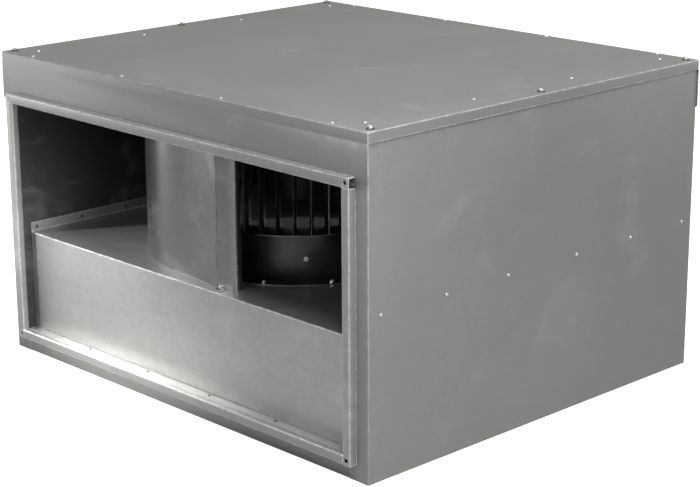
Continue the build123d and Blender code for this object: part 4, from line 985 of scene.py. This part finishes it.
lid = start_box("box_lid", lid_low, lid_high)
pick(lid, "edges", along_x)
bpy.ops.mesh.bevel(offset=BOX_CORNER, segments=4)
pick(lid, "edges", lambda edge: max(v.co.x for v in edge.verts) < lid_low.x + 1e-6)
bpy.ops.mesh.bevel(offset=LID_ROUND, segments=3)
bpy.ops.object.mode_set(mode="OBJECT")
sunk = Vector((0, LID_PANEL_INSET, LID_PANEL_INSET))
sink = start_box("panel_sink", lid_low + sunk - Vector((MM, 0, 0)),
                 Vector((lid_low.x + LID_PANEL_DEPTH, lid_high.y, lid_high.z)) - sunk)
bpy.ops.object.mode_set(mode="OBJECT")
put_on(lid, "BOOLEAN", {"operation": "DIFFERENCE", "solver": "EXACT", "object": sink})
bpy.data.objects.remove(sink)
for seat in screws:
    cut_round(lid, (lid_low.x, seat.y, seat.z), (1, 0, 0), SCREW_R + FIT_GAP, 4 * (lid_high.x - lid_low.x))
hand_over(lid, box_plastic, ["terminal_box_lid"])


def model_gland():
    """One cable gland about Z, its collar against the box at Z = 0 and its thread above."""
    nut_base = -GLAND_COLLAR - GLAND_NUT
    facet = 360 / (2 * GLAND_RIBS)
    nut = start_rod("gland_nut", 2 * GLAND_RIBS, GLAND_NUT_R, nut_base, -GLAND_COLLAR)
    rim(nut, nut_base, GLAND_NUT_R)
    bpy.ops.mesh.bevel(offset=GLAND_NUT_ROUND, segments=3)
    pick(nut, "faces", lambda face: abs(face.normal.z) < 0.1 and face.calc_area() > 15 * MM * MM
         and round(math.degrees(math.atan2(face.normal.y, face.normal.x)) / facet - 0.5) % 2 == 0)
    bpy.ops.mesh.inset(thickness=0.4 * MM, use_individual=True)
    bpy.ops.transform.resize(value=(0.95, 0.95, 1.0))
    bpy.ops.object.mode_set(mode="OBJECT")
    collar = start_rod("gland_collar", 6, gland_r, -GLAND_COLLAR, 0)
    pick(collar, "edges", lambda edge: abs(edge.verts[0].co.z - edge.verts[1].co.z) > 1 * MM)
    bpy.ops.mesh.bevel(offset=0.6 * MM, segments=2)
    bpy.ops.object.mode_set(mode="OBJECT")
    thread = start_rod("gland_thread", 32, GLAND_THREAD_R, 0, GLAND_THREAD)
    rim(thread, GLAND_THREAD, GLAND_THREAD_R)
    bpy.ops.mesh.bevel(offset=0.7 * MM, segments=2)
    bpy.ops.object.mode_set(mode="OBJECT")
    for part in (collar, thread):
        put_on(nut, "BOOLEAN", {"operation": "UNION", "solver": "EXACT", "object": part})
        bpy.data.objects.remove(part)
    cut_round(nut, (0, 0, -5.0 * MM), (0, 0, 1), GLAND_BORE_R, 40 * MM)
    return nut


gland_plastic = soft_finish("gland_plastic", (0.12, 0.125, 0.13), 900.0, 0.0002)
places = [(Vector((gland_x, y, low.z)), Vector((0, 0, 1))) for y in gland_rows]
glands = copies_at(model_gland(), "screwed_glands", places, 0.4)
hand_over(glands, gland_plastic, ["cable_glands"])
dress(soft_finish("terminal_plastic", (0.7, 0.7, 0.66), 600.0, 0.0002), "terminal_strip")
dress(soft_finish("grommet_rubber", (0.02, 0.02, 0.02), 900.0, 0.0003), "wall_grommet")


bpy.context.view_layer.update()
